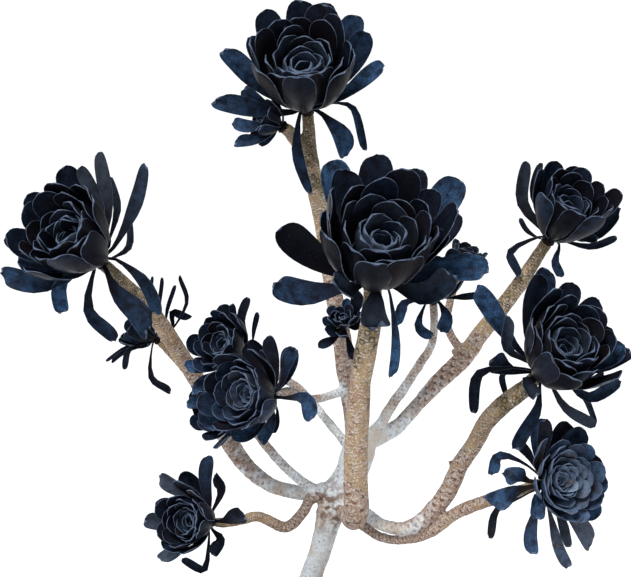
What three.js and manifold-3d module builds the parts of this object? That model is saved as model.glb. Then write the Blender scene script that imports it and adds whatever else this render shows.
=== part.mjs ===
// Potted aeonium: a dark, branching succulent in a plain clay pot.
// Millimetres, +Z up, the origin at the middle of the pot's foot, the viewer of the photograph at -Y.
import * as THREE from "three";
import { mergeVertices } from "three/addons/utils/BufferGeometryUtils.js";
import Module from "manifold-3d";

const wasm = await Module();
wasm.setup();

// ---------------------------------------------------------------- driving dimensions
const GAP = 0.3; // free gap between two pieces that stand in or on each other
const POT_HEIGHT = 250;
const POT_FOOT_RADIUS = 94;
const POT_RIM_RADIUS = 140;
const POT_BAND_HEIGHT = 44; // height of the thick band under the rim
const POT_BAND_STEP = 6; // how far the band stands out from the wall
const POT_WALL = 9;
const POT_FLOOR = 12;
const POT_SIDES = 34;
const DRAIN_HOLES = 3;
const DRAIN_RADIUS = 7;
const DRAIN_CIRCLE = 46;
const SOIL_TOP = 229; // mean height of the soil at the wall
const SOIL_MOUND = 7; // how much higher it lies round the trunk
const SOIL_SIDES = 22;
const STEM_SIDES = 8;
const TWIG_SIDES = 6;
const TWIG_RADIUS = 7; // stems no thicker than this at their middle are built as twigs
const LEAF_THICKNESS = 0.085; // of the leaf's width, in its middle
const LEAF_LEAST = 1.3; // least thickness on the leaf's middle line
const LEAF_CUP = 0.14; // how far the rims stand above the middle line, of the width
const CLEAR = 1.2; // room kept between a leaf and another piece
const SLIVER = 0.08; // slivers of the pot, the soil and the stems smaller than this are dropped
const LEAF_SLIVER = 0.35; // the same for the fused leaves
const LARGE_REACH = 75; // rosettes and leaves below this are built from fewer sections
const GOLDEN = 137.508; // degrees from one leaf to the next round a rosette
const THIN_OUT = 8; // inside a rosette one leaf in so many is built
const VIEW_TILT = 10; // degrees by which the photograph looks down on the plant

// Centre lines of the trunk and of every branch: x, y, z and the radius there.
const STEMS = {
  trunk: [
    [-16, 8, 164, 13.6], [-16, 8, 198, 13.4], [-16, 8, 232, 13.2], [-13, 7, 264, 12.5],
    [-5, 5, 295, 11.4], [3, 3, 318, 11], [10, 1, 343, 11.8], [15, 0, 364, 14], [20, 0, 381, 15.5],
    [29, 2, 394, 15.5], [37, 4, 408, 16], [43, 6, 425, 17], [46, 8, 438, 15],
  ],
  rear_tall: [
    [42, 12, 421, 11], [40, 14, 452, 10.5], [36, 12, 478, 9.5], [31, 10, 505, 9], [27, 8, 538, 9.6],
    [23, 8, 561, 9.3], [19, 10, 585, 8.6], [15, 12, 607, 8.5], [12, 14, 632, 8.4], [7, 16, 659, 8.2],
    [1, 18, 688, 8.2], [-4, 20, 717, 8], [-6, 20, 737, 6.8], [-7, 20, 757, 6.2], [-8, 20, 768, 6.2],
  ],
  rear_tall_side: [
    [-8, 20, 731, 5.6], [-17, 18, 739, 6.6], [-26, 15, 751, 6.4], [-31, 12, 755, 6],
  ],
  front: [
    [28, -2, 375, 11], [34, -22, 368, 10.6], [39, -42, 369, 11.5], [41, -54, 383, 12.2],
    [40, -60, 403, 12.2], [40, -70, 446, 11.8], [42, -80, 488, 11.2], [44, -87, 517, 10.4],
    [49, -95, 551, 10.8], [54, -102, 582, 10.4], [55, -107, 605, 9.2], [55, -108, 616, 8.6],
  ],
  right_upper: [
    [46, 8, 437, 13], [63, 18, 439, 9.2], [81, 26, 446, 7.7], [99, 34, 463, 7], [114, 40, 479, 7.7],
    [127, 44, 492, 8.7], [150, 50, 513, 9.5], [168, 56, 537, 9], [188, 60, 562, 8.5],
    [209, 64, 589, 7.8], [229, 68, 620, 6.6], [236, 68, 630, 6.3],
  ],
  right_inner: [
    [56, 14, 440, 8.6], [66, 18, 452, 6], [77, 22, 470, 5.3], [91, 24, 490, 5], [106, 22, 514, 4.6],
    [116, 16, 532, 4.3], [119, 10, 548, 4.2], [119, 4, 565, 4.2], [118, 0, 580, 4.2],
  ],
  right_inner_side: [
    [155, 50, 515, 6], [150, 54, 520, 4.9], [144, 58, 527, 4.4], [136, 62, 541, 4.2],
    [135, 65, 556, 4.1], [139, 66, 575, 4], [145, 66, 591, 4], [149, 66, 603, 4],
  ],
  right_lower: [
    [25, -4, 375, 10], [38, -14, 373, 8.2], [50, -22, 369, 6.9], [65, -32, 361, 6.3],
    [84, -40, 358, 6.6], [102, -46, 365, 7.6], [119, -50, 382, 8.6], [132, -52, 400, 9],
    [143, -54, 426, 8.8], [158, -56, 450, 8.5], [168, -58, 470, 8.8], [185, -60, 489, 9.2],
    [205, -62, 505, 8.6], [214, -63, 515, 7.2], [217, -63, 518, 7],
  ],
  right_bottom: [
    [23, -4, 370, 9], [38, -12, 362, 6.4], [50, -18, 354, 5.2], [65, -26, 346, 4.7],
    [82, -34, 345, 4.8], [103, -42, 350, 5.2], [119, -50, 360, 5.8], [136, -58, 376, 6.3],
    [152, -64, 386, 6.5], [173, -70, 395, 6.3], [192, -74, 402, 5.9], [211, -78, 410, 5.5],
    [223, -80, 415, 5.3],
  ],
  left_long: [
    [11, 0, 386, 10], [-10, 4, 384, 7.7], [-24, 10, 384, 7.3], [-44, 18, 388, 7.5],
    [-65, 26, 401, 8.3], [-81, 32, 419, 9], [-93, 36, 439, 9.3], [-106, 38, 465, 9.2],
    [-115, 38, 483, 9], [-124, 36, 500, 8.8], [-136, 30, 520, 8.8], [-148, 22, 542, 8.7],
    [-159, 14, 561, 8.3], [-172, 4, 580, 7.6], [-192, -8, 603, 6.8], [-206, -16, 618, 6.3],
    [-210, -18, 622, 6.2],
  ],
  left_long_side: [
    [-130, 34, 506, 5.4], [-140, 40, 513, 4.2], [-150, 43, 523, 3.9], [-159, 44, 532, 3.8],
  ],
  left_inner: [
    [35, 12, 490, 6.5], [25, 6, 488, 4.7], [10, -4, 485, 4.3], [-4, -14, 485, 4.3],
    [-15, -26, 491, 4.4], [-27, -40, 498, 4.4], [-35, -48, 498, 4.5], [-40, -52, 496, 4.5],
  ],
  left_back: [
    [35, 4, 432, 6.5], [25, 2, 443, 4.6], [11, 8, 459, 4.3], [-3, 14, 475, 4.3], [-18, 18, 490, 4.3],
    [-36, 16, 502, 4.3], [-54, 10, 514, 4.3], [-66, 5, 523, 4.3], [-70, 4, 526, 4.3],
  ],
  left_middle: [
    [7, -2, 384, 7], [-10, -4, 395, 5.4], [-19, -8, 403, 5], [-34, -10, 418, 4.8], [-50, -8, 436, 4.7],
    [-62, -2, 451, 4.6], [-70, 4, 462, 4.5], [-75, 8, 468, 4.5],
  ],
  left_bottom: [
    [11, -2, 382, 8], [-4, -8, 381, 5.8], [-13, -14, 368, 5.5], [-23, -20, 358, 5.7],
    [-33, -26, 356, 5.7], [-46, -32, 364, 5.4], [-58, -38, 370, 5.2], [-71, -44, 369, 5],
    [-87, -50, 367, 4.8], [-101, -54, 368, 4.8],
  ],
  middle_side: [
    [27, 6, 535, 5], [28, -8, 544, 3.9], [28, -16, 552, 3.4], [29, -20, 558, 3.4],
  ],
};

// The rosettes. `base` is the middle of the leaves' feet at the end of the stem of the same name,
// `axis` the way the bud looks, `reach` the length of the longest leaves, `wide` a leaf's width over
// that length, `lift` how far in degrees the outermost leaves rise over the rosette's own plane,
// `count` how many leaves its spiral has and `outer` how many of them are built without thinning out.
// `shown` lists leaves that are placed by their tips as the photograph shows them: to its right, up in
// it and nearer than `base`, with the middle `belly` further out than the straight way to the tip, and
// the face turned by the share `facing` from the axis to the viewer.
// `old` lists single leaves that leave the rule: the points they pass, from `base`, and the tip last.
const HEADS = [
  {
    name: "front", base: [55, -108, 617], axis: [0.12, -0.65, 0.75],
    reach: 116, wide: 0.305, lift: 67, count: 40, outer: 10, turn: 20,
    shown: [
      { right: -90, up: 54, near: 20, belly: 8, width: 33, facing: 0.75 },
      { right: -28, up: 112, near: -12, belly: 14, width: 34, facing: 0.5 },
      { right: -40, up: 121, near: -38, belly: 12, width: 34, facing: 0.3 },
      { right: 5, up: 127, near: -28, belly: 16, width: 36, facing: 0.2 },
      { right: 44, up: 113, near: -20, belly: 16, width: 34, facing: 0.3 },
      { right: 84, up: 103, near: -30, belly: 10, width: 34, facing: 0.8 },
      { right: 60, up: 92, near: 10, belly: 14, width: 30, facing: 0.3 },
      { right: 83, up: 68, near: 12, belly: 10, width: 30, facing: 0.5 },
      { right: 70, up: 48, near: 48, belly: 8, width: 26, facing: 0.2 },
      { right: -48, up: 69, near: 32, belly: 12, width: 28, facing: 0.1 },
    ],
    old: [
      { path: [[-22, -10, 0], [-58, -16, -5], [-93, -18, 8]], width: 27, roll: 50 },
      { path: [[-12, -22, 4], [-26, -44, 2], [-38, -62, 16]], width: 22, roll: 0 },
      { path: [[-1, -18, 1], [1, -25, -13], [1, -23, -32]], width: 25, roll: 0 },
      { path: [[12, -13, 3], [26, -22, -40], [18, -16, -82]], width: 13, roll: 60 },
      { path: [[18, -18, 4], [49, -40, 0], [79, -52, 15]], width: 29, roll: -20 },
      { path: [[28, -6, 5], [64, -14, 17], [108, -20, 12]], width: 28, roll: 40 },
    ],
  },
  {
    name: "rear_tall", base: [-8, 20, 770], axis: [-0.05, -0.62, 0.78],
    reach: 106, wide: 0.325, lift: 66, count: 38, outer: 8, turn: 75,
    shown: [
      { right: -44, up: 101, near: -10, belly: 14, width: 30, facing: 0.4 },
      { right: -7, up: 113, near: -26, belly: 16, width: 34, facing: 0.2 },
      { right: 18, up: 110, near: -22, belly: 16, width: 30, facing: 0.2 },
      { right: 49, up: 97, near: -18, belly: 10, width: 28, facing: 0.6 },
      { right: 60, up: 78, near: 12, belly: 10, width: 27, facing: 0.6 },
      { right: -58, up: 72, near: 20, belly: 12, width: 22, facing: 0.2 },
    ],
    old: [
      { path: [[-21, -8, 11], [-55, -18, 34], [-81, -24, 64]], width: 22, roll: 10 },
      { path: [[-17, -6, 1], [-55, -15, 4], [-90, -18, 15]], width: 21, roll: 45 },
      { path: [[17, -8, 9], [46, -12, 25], [77, -14, 45]], width: 18, roll: 30 },
      { path: [[17, -14, -2], [29, -20, -16], [38, -22, -41]], width: 21, roll: 45 },
      { path: [[27, 5, 8], [58, 5, -5], [50, 0, -54]], width: 12, roll: 20 },
      { path: [[-7, -18, -2], [-9, -24, -35], [2, -22, -77]], width: 17, roll: 40 },
    ],
  },
  {
    name: "rear_tall_side", base: [-32, 12, 756], axis: [-0.88, -0.24, 0.41],
    reach: 36, wide: 0.38, lift: 50, count: 18, outer: 4, turn: 0,
    old: [
      { path: [[-11, -2, 11], [-23, -6, 22], [-40, -6, 36]], width: 21, roll: 20 },
      { path: [[-15, -6, 3], [-31, -10, 2], [-49, -12, 6]], width: 14, roll: 10 },
      { path: [[-11, -6, -5], [-28, -10, -12], [-47, -12, -15]], width: 13, roll: 20 },
      { path: [[-9, 2, -8], [-15, 4, -14], [-24, 4, -18]], width: 9, roll: 0 },
    ],
  },
  {
    name: "left_long", base: [-211, -18, 623], axis: [-0.52, -0.63, 0.58],
    reach: 100, wide: 0.31, lift: 66, count: 38, outer: 8, turn: 40,
    shown: [
      { right: -40, up: 96, near: -14, belly: 14, width: 30, facing: 0.3 },
      { right: -76, up: 68, near: -6, belly: 12, width: 28, facing: 0.3 },
      { right: -95, up: 27, near: 10, belly: 10, width: 28, facing: 0.4 },
      { right: -82, up: 2, near: 24, belly: 10, width: 26, facing: 0.5 },
    ],
    old: [
      { path: [[-2, 4, 23], [-5, 8, 58], [-21, 8, 96]], width: 15, roll: 30 },
      { path: [[1, 8, 27], [5, 12, 62], [-2, 12, 110]], width: 15, roll: 20 },
      { path: [[6, 14, 22], [15, 18, 53], [9, 18, 84]], width: 11, roll: 50 },
      { path: [[12, 2, 18], [32, 4, 52], [44, 6, 96]], width: 17, roll: 30 },
      { path: [[10, 8, 5], [26, 10, 16], [27, 8, 49]], width: 9, roll: 40 },
      { path: [[-17, -6, -3], [-57, -14, -18], [-98, -18, -5]], width: 22, roll: 30 },
      { path: [[-9, -14, -1], [-21, -26, -5], [-38, -34, -9]], width: 13, roll: 0 },
      { path: [[-15, -4, -3], [-38, -10, -17], [-44, -12, -46]], width: 16, roll: 40 },
      { path: [[-8, -8, -5], [-13, -12, -46], [10, -14, -76]], width: 15, roll: 50 },
      { path: [[7, -24, -4], [22, -30, -29], [45, -28, -62]], width: 26, roll: 0 },
      { path: [[15, -6, 5], [40, -12, -13], [54, -10, -48]], width: 17, roll: -20 },
    ],
  },
  {
    name: "left_long_side", base: [-160, 44, 533], axis: [-0.87, -0.12, 0.49],
    reach: 46, wide: 0.32, lift: 60, count: 20, outer: 4, turn: 10,
    old: [
      { path: [[0, 2, 16], [2, 4, 42], [5, 4, 64]], width: 5, roll: 0 },
      { path: [[-4, 4, 16], [-7, 6, 41], [-6, 6, 65]], width: 4, roll: 0 },
      { path: [[6, 4, 13], [10, 6, 33], [17, 6, 56]], width: 5, roll: 0 },
      { path: [[11, 10, 7], [29, 12, 38], [22, 8, 66]], width: 5, roll: 0 },
      { path: [[14, 14, 8], [14, 16, 27], [32, 14, 22]], width: 9, roll: 0 },
      { path: [[-13, -2, -2], [-33, -4, -6], [-53, -4, -20]], width: 4, roll: 0 },
      { path: [[-13, -8, -3], [-32, -12, -9], [-47, -12, -19]], width: 6, roll: 0 },
      { path: [[-11, -10, -4], [-28, -16, -6], [-32, -18, -25]], width: 8, roll: 0 },
      { path: [[-6, -8, -8], [-10, -12, -38], [11, -12, -49]], width: 7, roll: 0 },
    ],
  },
  {
    name: "left_back", base: [-71, 4, 527], axis: [-0.66, -0.61, 0.43],
    reach: 58, wide: 0.37, lift: 62, count: 28, outer: 6, turn: 30,
    shown: [
      { right: -54, up: 10, near: 2, belly: 8, width: 20, facing: 0.3 },
      { right: -40, up: 34, near: -4, belly: 8, width: 20, facing: 0.3 },
      { right: -24, up: 49, near: -8, belly: 8, width: 20, facing: 0.2 },
    ],
    old: [
      { path: [[2, 8, 13], [-3, 10, 33], [2, 10, 56]], width: 10, roll: 20 },
      { path: [[7, 6, 11], [9, 8, 25], [14, 8, 41]], width: 6, roll: 20 },
      { path: [[-5, 4, 14], [-11, 2, 32], [-12, 2, 51]], width: 8, roll: 20 },
      { path: [[-15, -10, -2], [-35, -16, -9], [-59, -20, -6]], width: 14, roll: 20 },
      { path: [[-15, -6, -11], [-33, -10, -23], [-53, -12, -34]], width: 13, roll: 10 },
    ],
  },
  {
    name: "left_inner", base: [-41, -52, 495], axis: [-0.66, -0.71, 0.23],
    reach: 72, wide: 0.36, lift: 62, count: 34, outer: 7, turn: 55,
    shown: [
      { right: -26, up: 54, near: -10, belly: 10, width: 26, facing: 0.3 },
      { right: -52, up: 38, near: 0, belly: 10, width: 26, facing: 0.4 },
      { right: -74, up: -22, near: 10, belly: 8, width: 26, facing: 0.5 },
      { right: -40, up: -40, near: 14, belly: 8, width: 26, facing: 0.5 },
      { right: 17, up: 34, near: 0, belly: 6, width: 19, facing: 0.8 },
    ],
    old: [
      { path: [[0, 4, 11], [-1, 6, 36], [-6, 6, 60]], width: 11, roll: 20 },
      { path: [[-4, -2, 13], [-5, -4, 30], [-13, -4, 48]], width: 9, roll: 20 },
      { path: [[7, 2, 7], [12, 2, 21], [22, 0, 33]], width: 14, roll: 20 },
      { path: [[12, -10, 1], [32, -16, 4], [34, -18, -18]], width: 15, roll: 40 },
      { path: [[-1, -4, -12], [-4, -8, -26], [-11, -8, -43]], width: 13, roll: 20 },
      { path: [[3, -2, -11], [3, -4, -24], [-3, -4, -35]], width: 8, roll: 0 },
      { path: [[-12, -8, -14], [-24, -12, -28], [-46, -14, -32]], width: 16, roll: 10 },
    ],
  },
  {
    name: "left_middle", base: [-76, 8, 469], axis: [-0.71, -0.70, 0.07],
    reach: 56, wide: 0.36, lift: 60, count: 30, outer: 7, turn: 15,
    old: [
      { path: [[-18, -6, 6], [-35, -10, 10], [-53, -12, 11]], width: 14, roll: 0 },
    ],
  },
  {
    name: "left_bottom", base: [-103, -54, 369], axis: [-0.62, -0.76, 0.19],
    reach: 60, wide: 0.36, lift: 64, count: 34, outer: 6, turn: 100,
    shown: [
      { right: -29, up: 49, near: -8, belly: 8, width: 21, facing: 0.3 },
      { right: -56, up: 18, near: 4, belly: 8, width: 20, facing: 0.4 },
      { right: -50, up: -10, near: 8, belly: 8, width: 20, facing: 0.4 },
    ],
    old: [
      { path: [[-3, 2, 17], [-6, 4, 42], [-3, 4, 66]], width: 13, roll: 20 },
      { path: [[2, 6, 13], [11, 8, 31], [5, 8, 47]], width: 13, roll: 20 },
      { path: [[-17, 4, 16], [-32, 4, 30], [-51, 4, 46]], width: 16, roll: 0 },
      { path: [[-22, 4, 1], [-44, 2, -2], [-66, 0, -1]], width: 18, roll: 0 },
      { path: [[-17, 4, -15], [-32, 0, -25], [-50, 0, -39]], width: 15, roll: 0 },
      { path: [[-3, -6, -15], [-7, -8, -47], [-29, -8, -35]], width: 9, roll: 0 },
      { path: [[2, -8, -8], [9, -12, -16], [2, -12, -31]], width: 13, roll: 0 },
      { path: [[10, -12, 4], [20, -18, 9], [33, -20, 10]], width: 17, roll: 0 },
    ],
  },
  {
    name: "right_inner", base: [118, 0, 582], axis: [0.05, -0.58, 0.81],
    reach: 54, wide: 0.32, lift: 60, count: 26, outer: 6, turn: 60,
    old: [
      { path: [[-15, -6, 2], [-31, -10, 0], [-35, -10, -22]], width: 13, roll: 40 },
      { path: [[-10, -10, -3], [-15, -14, -21], [-3, -14, -34]], width: 11, roll: 0 },
      { path: [[7, -10, -2], [13, -14, -13], [6, -14, -27]], width: 15, roll: 0 },
      { path: [[15, -4, 4], [29, -6, 5], [44, -6, 8]], width: 8, roll: 0 },
    ],
  },
  {
    name: "right_inner_side", base: [149, 66, 604], axis: [0.31, -0.09, 0.95],
    reach: 31, wide: 0.42, lift: 56, count: 20, outer: 5, turn: 0,
    old: [],
  },
  {
    name: "right_upper", base: [237, 68, 632], axis: [0.38, -0.52, 0.76],
    reach: 84, wide: 0.3, lift: 68, count: 34, outer: 7, turn: 15,
    shown: [
      { right: 8, up: 82, near: -10, belly: 12, width: 24, facing: 0.3 },
      { right: 30, up: 76, near: -10, belly: 12, width: 26, facing: 0.2 },
      { right: 57, up: 50, near: 6, belly: 10, width: 24, facing: 0.4 },
    ],
    old: [
      { path: [[-7, 0, 14], [-27, 0, 41], [-23, 0, 82]], width: 13, roll: 30 },
      { path: [[-5, 4, 20], [-15, 6, 47], [-8, 6, 79]], width: 9, roll: 30 },
      { path: [[17, -6, 7], [44, -10, 9], [73, -12, 33]], width: 19, roll: 10 },
      { path: [[17, -2, 0], [43, -4, -5], [70, -4, 3]], width: 9, roll: 20 },
      { path: [[13, -10, 3], [27, -16, 8], [48, -20, 4]], width: 10, roll: 0 },
      { path: [[-8, -4, 3], [-21, -6, 11], [-29, -6, 24]], width: 6, roll: 0 },
      { path: [[-12, -10, 5], [-40, -14, -9], [-30, -14, -33]], width: 10, roll: 30 },
      { path: [[11, -12, -3], [7, -16, -19], [12, -16, -34]], width: 10, roll: 0 },
    ],
  },
  {
    name: "right_lower", base: [218, -63, 519], axis: [0.44, -0.63, 0.64],
    reach: 96, wide: 0.325, lift: 66, count: 40, outer: 8, turn: 130,
    shown: [
      { right: 10, up: 105, near: -20, belly: 12, width: 26, facing: 0.4 },
      { right: 37, up: 91, near: -20, belly: 12, width: 28, facing: 0.2 },
      { right: 62, up: 74, near: -12, belly: 12, width: 26, facing: 0.3 },
      { right: 74, up: 44, near: 6, belly: 10, width: 26, facing: 0.4 },
      { right: 84, up: 28, near: 20, belly: 8, width: 26, facing: 0.5 },
      { right: 0, up: 100, near: 8, belly: 14, width: 26, facing: 0.1 },
    ],
    old: [
      { path: [[-18, -2, 26], [-38, -4, 54], [-61, -4, 85]], width: 21, roll: 40 },
      { path: [[-12, -14, 18], [-33, -24, 35], [-32, -30, 65]], width: 13, roll: 20 },
      { path: [[-20, -10, 7], [-36, -16, 12], [-47, -20, 16]], width: 23, roll: 0 },
      { path: [[-27, -20, 14], [-80, -30, 22], [-60, -30, -29]], width: 10, roll: 20 },
      { path: [[-15, 6, 3], [-32, 10, -1], [-30, 10, -21]], width: 7, roll: 0 },
      { path: [[-3, -16, 1], [-11, -28, -2], [-6, -34, -15]], width: 18, roll: 0 },
      { path: [[1, -12, -12], [0, -18, -33], [-23, -20, -68]], width: 15, roll: 20 },
      { path: [[14, -6, -7], [27, -10, -37], [55, -12, -50]], width: 14, roll: 20 },
      { path: [[28, 0, -5], [56, 2, -7], [57, 0, -47]], width: 8, roll: 0 },
      { path: [[27, -4, -4], [51, -8, -20], [82, -10, -6]], width: 14, roll: 20 },
      { path: [[21, -12, 0], [45, -18, -4], [63, -22, 7]], width: 7, roll: 0 },
      { path: [[28, 4, 5], [62, 4, 9], [91, 2, 24]], width: 21, roll: 10 },
    ],
  },
  {
    name: "right_bottom", base: [225, -80, 415], axis: [0.52, -0.81, 0.26],
    reach: 62, wide: 0.38, lift: 54, count: 40, outer: 8, turn: 0,
    shown: [
      { right: 25, up: 58, near: -16, belly: 8, width: 24, facing: 0.3 },
      { right: 40, up: 52, near: -10, belly: 8, width: 24, facing: 0.4 },
      { right: 56, up: 22, near: 0, belly: 6, width: 24, facing: 0.4 },
      { right: 58, up: -10, near: 4, belly: 6, width: 26, facing: 0.4 },
      { right: 54, up: -32, near: 4, belly: 6, width: 24, facing: 0.4 },
      { right: -3, up: 63, near: 0, belly: 6, width: 20, facing: 0.8 },
    ],
    old: [
      { path: [[-1, 0, 18], [-2, -2, 38], [-1, -4, 63]], width: 15, roll: 20 },
      { path: [[-8, 2, 14], [-17, 4, 29], [-26, 4, 42]], width: 11, roll: 0 },
      { path: [[-22, 2, 18], [-56, 2, 34], [-49, 0, 6]], width: 9, roll: 0 },
      { path: [[-17, -6, 4], [-27, -14, 11], [-40, -18, 14]], width: 19, roll: 20 },
      { path: [[-20, -12, -3], [-37, -20, -7], [-56, -24, -12]], width: 22, roll: 20 },
      { path: [[-1, -16, -9], [-8, -26, -11], [-9, -32, -27]], width: 18, roll: 0 },
      { path: [[-22, -4, -13], [-54, -6, -24], [-51, -6, -55]], width: 8, roll: 0 },
      { path: [[-7, -6, -19], [-13, -8, -44], [-12, -8, -68]], width: 15, roll: 0 },
      { path: [[3, -4, -22], [11, -6, -52], [22, -6, -83]], width: 13, roll: 20 },
      { path: [[10, 2, -21], [17, 2, -41], [24, 2, -64]], width: 12, roll: 20 },
      { path: [[18, 2, -18], [31, 0, -38], [46, -2, -64]], width: 19, roll: 0 },
    ],
  },
  {
    name: "middle_side", base: [29, -20, 559], axis: [-0.16, -0.54, 0.83],
    reach: 26, wide: 0.42, lift: 50, count: 16, outer: 3, turn: 0,
    shown: [
      { right: -22, up: 10, near: 8, belly: 4, width: 10, facing: 0.5 },
      { right: -20, up: -2, near: 12, belly: 4, width: 13, facing: 0.5 },
      { right: -26, up: -19, near: 12, belly: 4, width: 11, facing: 0.6 },
      { right: 9, up: -32, near: 10, belly: 4, width: 9, facing: 0.6 },
      { right: -10, up: 17, near: 6, belly: 4, width: 12, facing: 0.4 },
      { right: 14, up: 36, near: 10, belly: 5, width: 14, facing: 0.5 },
      { right: 2, up: 29, near: -4, belly: 4, width: 10, facing: 0.5 },
      { right: 18, up: 8, near: 12, belly: 4, width: 14, facing: 0.4 },
      { right: -5, up: -9, near: 20, belly: 4, width: 14, facing: 0.5 },
    ],
    old: [],
  },
];

// ---------------------------------------------------------------- small helpers
const v3 = (p) => new THREE.Vector3(p[0], p[1], p[2]);
const mix = (a, b, t) => a + (b - a) * t;
const rad = THREE.MathUtils.degToRad;

// A repeatable number from 0 to 1 for every whole k.
const rand = (k) => {
  const s = Math.sin(k * 12.9898) * 43758.5453;
  return s - Math.floor(s);
};

// A solid from a plain list of corners and triangles.
function solid(corners, triangles) {
  const flat = new Float32Array(corners.length * 3);
  corners.forEach((c, i) => c.toArray(flat, i * 3));
  const make = (tris) =>
    new wasm.Manifold(
      new wasm.Mesh({
        numProp: 3,
        vertProperties: flat,
        triVerts: new Uint32Array(tris.flat()),
      }),
    );
  const made = make(triangles);
  return made.volume() >= 0 ? made : make(triangles.map(([a, b, c]) => [a, c, b]));
}

// Skin over a row of closed rings with equal corner counts, with flat or pointed ends.
function skin(rings, startPoint, endPoint) {
  const n = rings[0].length;
  const corners = rings.flat();
  const tris = [];
  for (let r = 0; r + 1 < rings.length; r += 1) {
    for (let i = 0; i < n; i += 1) {
      const a = r * n + i;
      const b = r * n + ((i + 1) % n);
      tris.push([a, b, b + n], [a, b + n, a + n]);
    }
  }
  const last = (rings.length - 1) * n;
  const cap = (first, point, flip) => {
    if (point) {
      corners.push(point);
      const tip = corners.length - 1;
      for (let i = 0; i < n; i += 1) {
        const a = first + i;
        const b = first + ((i + 1) % n);
        tris.push(flip ? [b, a, tip] : [a, b, tip]);
      }
    } else {
      for (let i = 1; i + 1 < n; i += 1) {
        const tri = [first, first + i, first + i + 1];
        tris.push(flip ? [tri[0], tri[2], tri[1]] : tri);
      }
    }
  };
  cap(0, startPoint, true);
  cap(last, endPoint, false);
  return solid(corners, tris);
}

// The directions along a row of points, each the mean of its two neighbouring runs.
function tangents(points) {
  return points.map((p, i) => {
    const before = points[Math.max(i - 1, 0)];
    const after = points[Math.min(i + 1, points.length - 1)];
    return after.clone().sub(before).normalize();
  });
}

// A round tube through the points, its rings square to the run and never twisted.
function tube(rows, extra = 0, sides = STEM_SIDES) {
  const points = rows.map(v3);
  const along = tangents(points);
  let side = new THREE.Vector3(1, 0.2, 0);
  const rings = points.map((p, i) => {
    side = side.clone().addScaledVector(along[i], -side.dot(along[i])).normalize();
    const up = along[i].clone().cross(side);
    const r = rows[i][3] + extra;
    return Array.from({ length: sides }, (_, k) => {
      const a = (2 * Math.PI * k) / sides;
      return p.clone().addScaledVector(side, r * Math.cos(a)).addScaledVector(up, r * Math.sin(a));
    });
  });
  return skin(rings);
}

// A turned body from a closed outline of [radius, height] corners; one with radius 0 is on the axis.
function turned(outline, sides, lift = () => 0) {
  const corners = [];
  const index = outline.map(([r, z]) => {
    const first = corners.length;
    const count = r === 0 ? 1 : sides;
    for (let k = 0; k < count; k += 1) {
      const a = (2 * Math.PI * k) / sides;
      corners.push(new THREE.Vector3(r * Math.cos(a), r * Math.sin(a), z + lift(r, k, z)));
    }
    return (k) => first + (count === 1 ? 0 : k % sides);
  });
  const tris = [];
  outline.forEach(([r0], j) => {
    const next = (j + 1) % outline.length;
    const r1 = outline[next][0];
    if (r0 === 0 && r1 === 0) return;
    for (let k = 0; k < sides; k += 1) {
      if (r0 !== 0) tris.push([index[j](k), index[j](k + 1), index[next](k)]);
      if (r1 !== 0) tris.push([index[next](k), index[j](k + 1), index[next](k + 1)]);
    }
  });
  return solid(corners, tris);
}

// ---------------------------------------------------------------- pot and soil
function buildPot() {
  const slope = (POT_RIM_RADIUS - POT_BAND_STEP - POT_FOOT_RADIUS) / POT_HEIGHT;
  const bandFoot = POT_HEIGHT - POT_BAND_HEIGHT;
  const wallAt = (z) => POT_FOOT_RADIUS + slope * z;
  const outline = [
    [0, 0],
    [POT_FOOT_RADIUS - 3, 0],
    [POT_FOOT_RADIUS, 3],
    [wallAt(bandFoot - 3), bandFoot - 3],
    [wallAt(bandFoot) + POT_BAND_STEP - 1, bandFoot],
    [wallAt(bandFoot) + POT_BAND_STEP, bandFoot + 3],
    [POT_RIM_RADIUS, POT_HEIGHT - 4],
    [POT_RIM_RADIUS - 4, POT_HEIGHT],
    [POT_RIM_RADIUS - POT_BAND_STEP - POT_WALL + 3, POT_HEIGHT],
    [POT_RIM_RADIUS - POT_BAND_STEP - POT_WALL, POT_HEIGHT - 4],
    [wallAt(POT_FLOOR) - POT_WALL, POT_FLOOR],
    [0, POT_FLOOR],
  ];
  let pot = turned(outline, POT_SIDES);
  for (let k = 0; k < DRAIN_HOLES; k += 1) {
    const a = (2 * Math.PI * (k + 0.25)) / DRAIN_HOLES;
    const x = DRAIN_CIRCLE * Math.cos(a);
    const y = DRAIN_CIRCLE * Math.sin(a);
    pot = pot.subtract(tube([[x, y, -2, DRAIN_RADIUS], [x, y, POT_FLOOR + 2, DRAIN_RADIUS]], 0, 16));
  }
  return pot;
}

function buildSoil() {
  const slope = (POT_RIM_RADIUS - POT_BAND_STEP - POT_FOOT_RADIUS) / POT_HEIGHT;
  const room = (z) => (POT_FOOT_RADIUS + slope * z - POT_WALL - GAP) * 0.995;
  const foot = POT_FLOOR + GAP;
  const rings = [0.86, 0.68, 0.5, 0.33, 0.17];
  const outline = [
    [0, foot],
    [room(foot), foot],
    [room(SOIL_TOP), SOIL_TOP],
    ...rings.map((f) => [room(SOIL_TOP) * f, SOIL_TOP + SOIL_MOUND * (1 - f * f)]),
    [0, SOIL_TOP + SOIL_MOUND],
  ];
  const uneven = (r, k, z) => (z > SOIL_TOP ? 2.6 * (rand(k * 7.3 + r * 1.7) - 0.5) : 0);
  return turned(outline, SOIL_SIDES, uneven).subtract(tube(STEMS.trunk.slice(0, 4), GAP));
}

// ---------------------------------------------------------------- stems
function buildStems() {
  const sides = (rows) => (rows[rows.length >> 1][3] > TWIG_RADIUS ? STEM_SIDES : TWIG_SIDES);
  const [first, ...others] = Object.values(STEMS).map((rows) => tube(rows, 0, sides(rows)));
  return others.reduce((all, branch) => all.add(branch), first);
}

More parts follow.
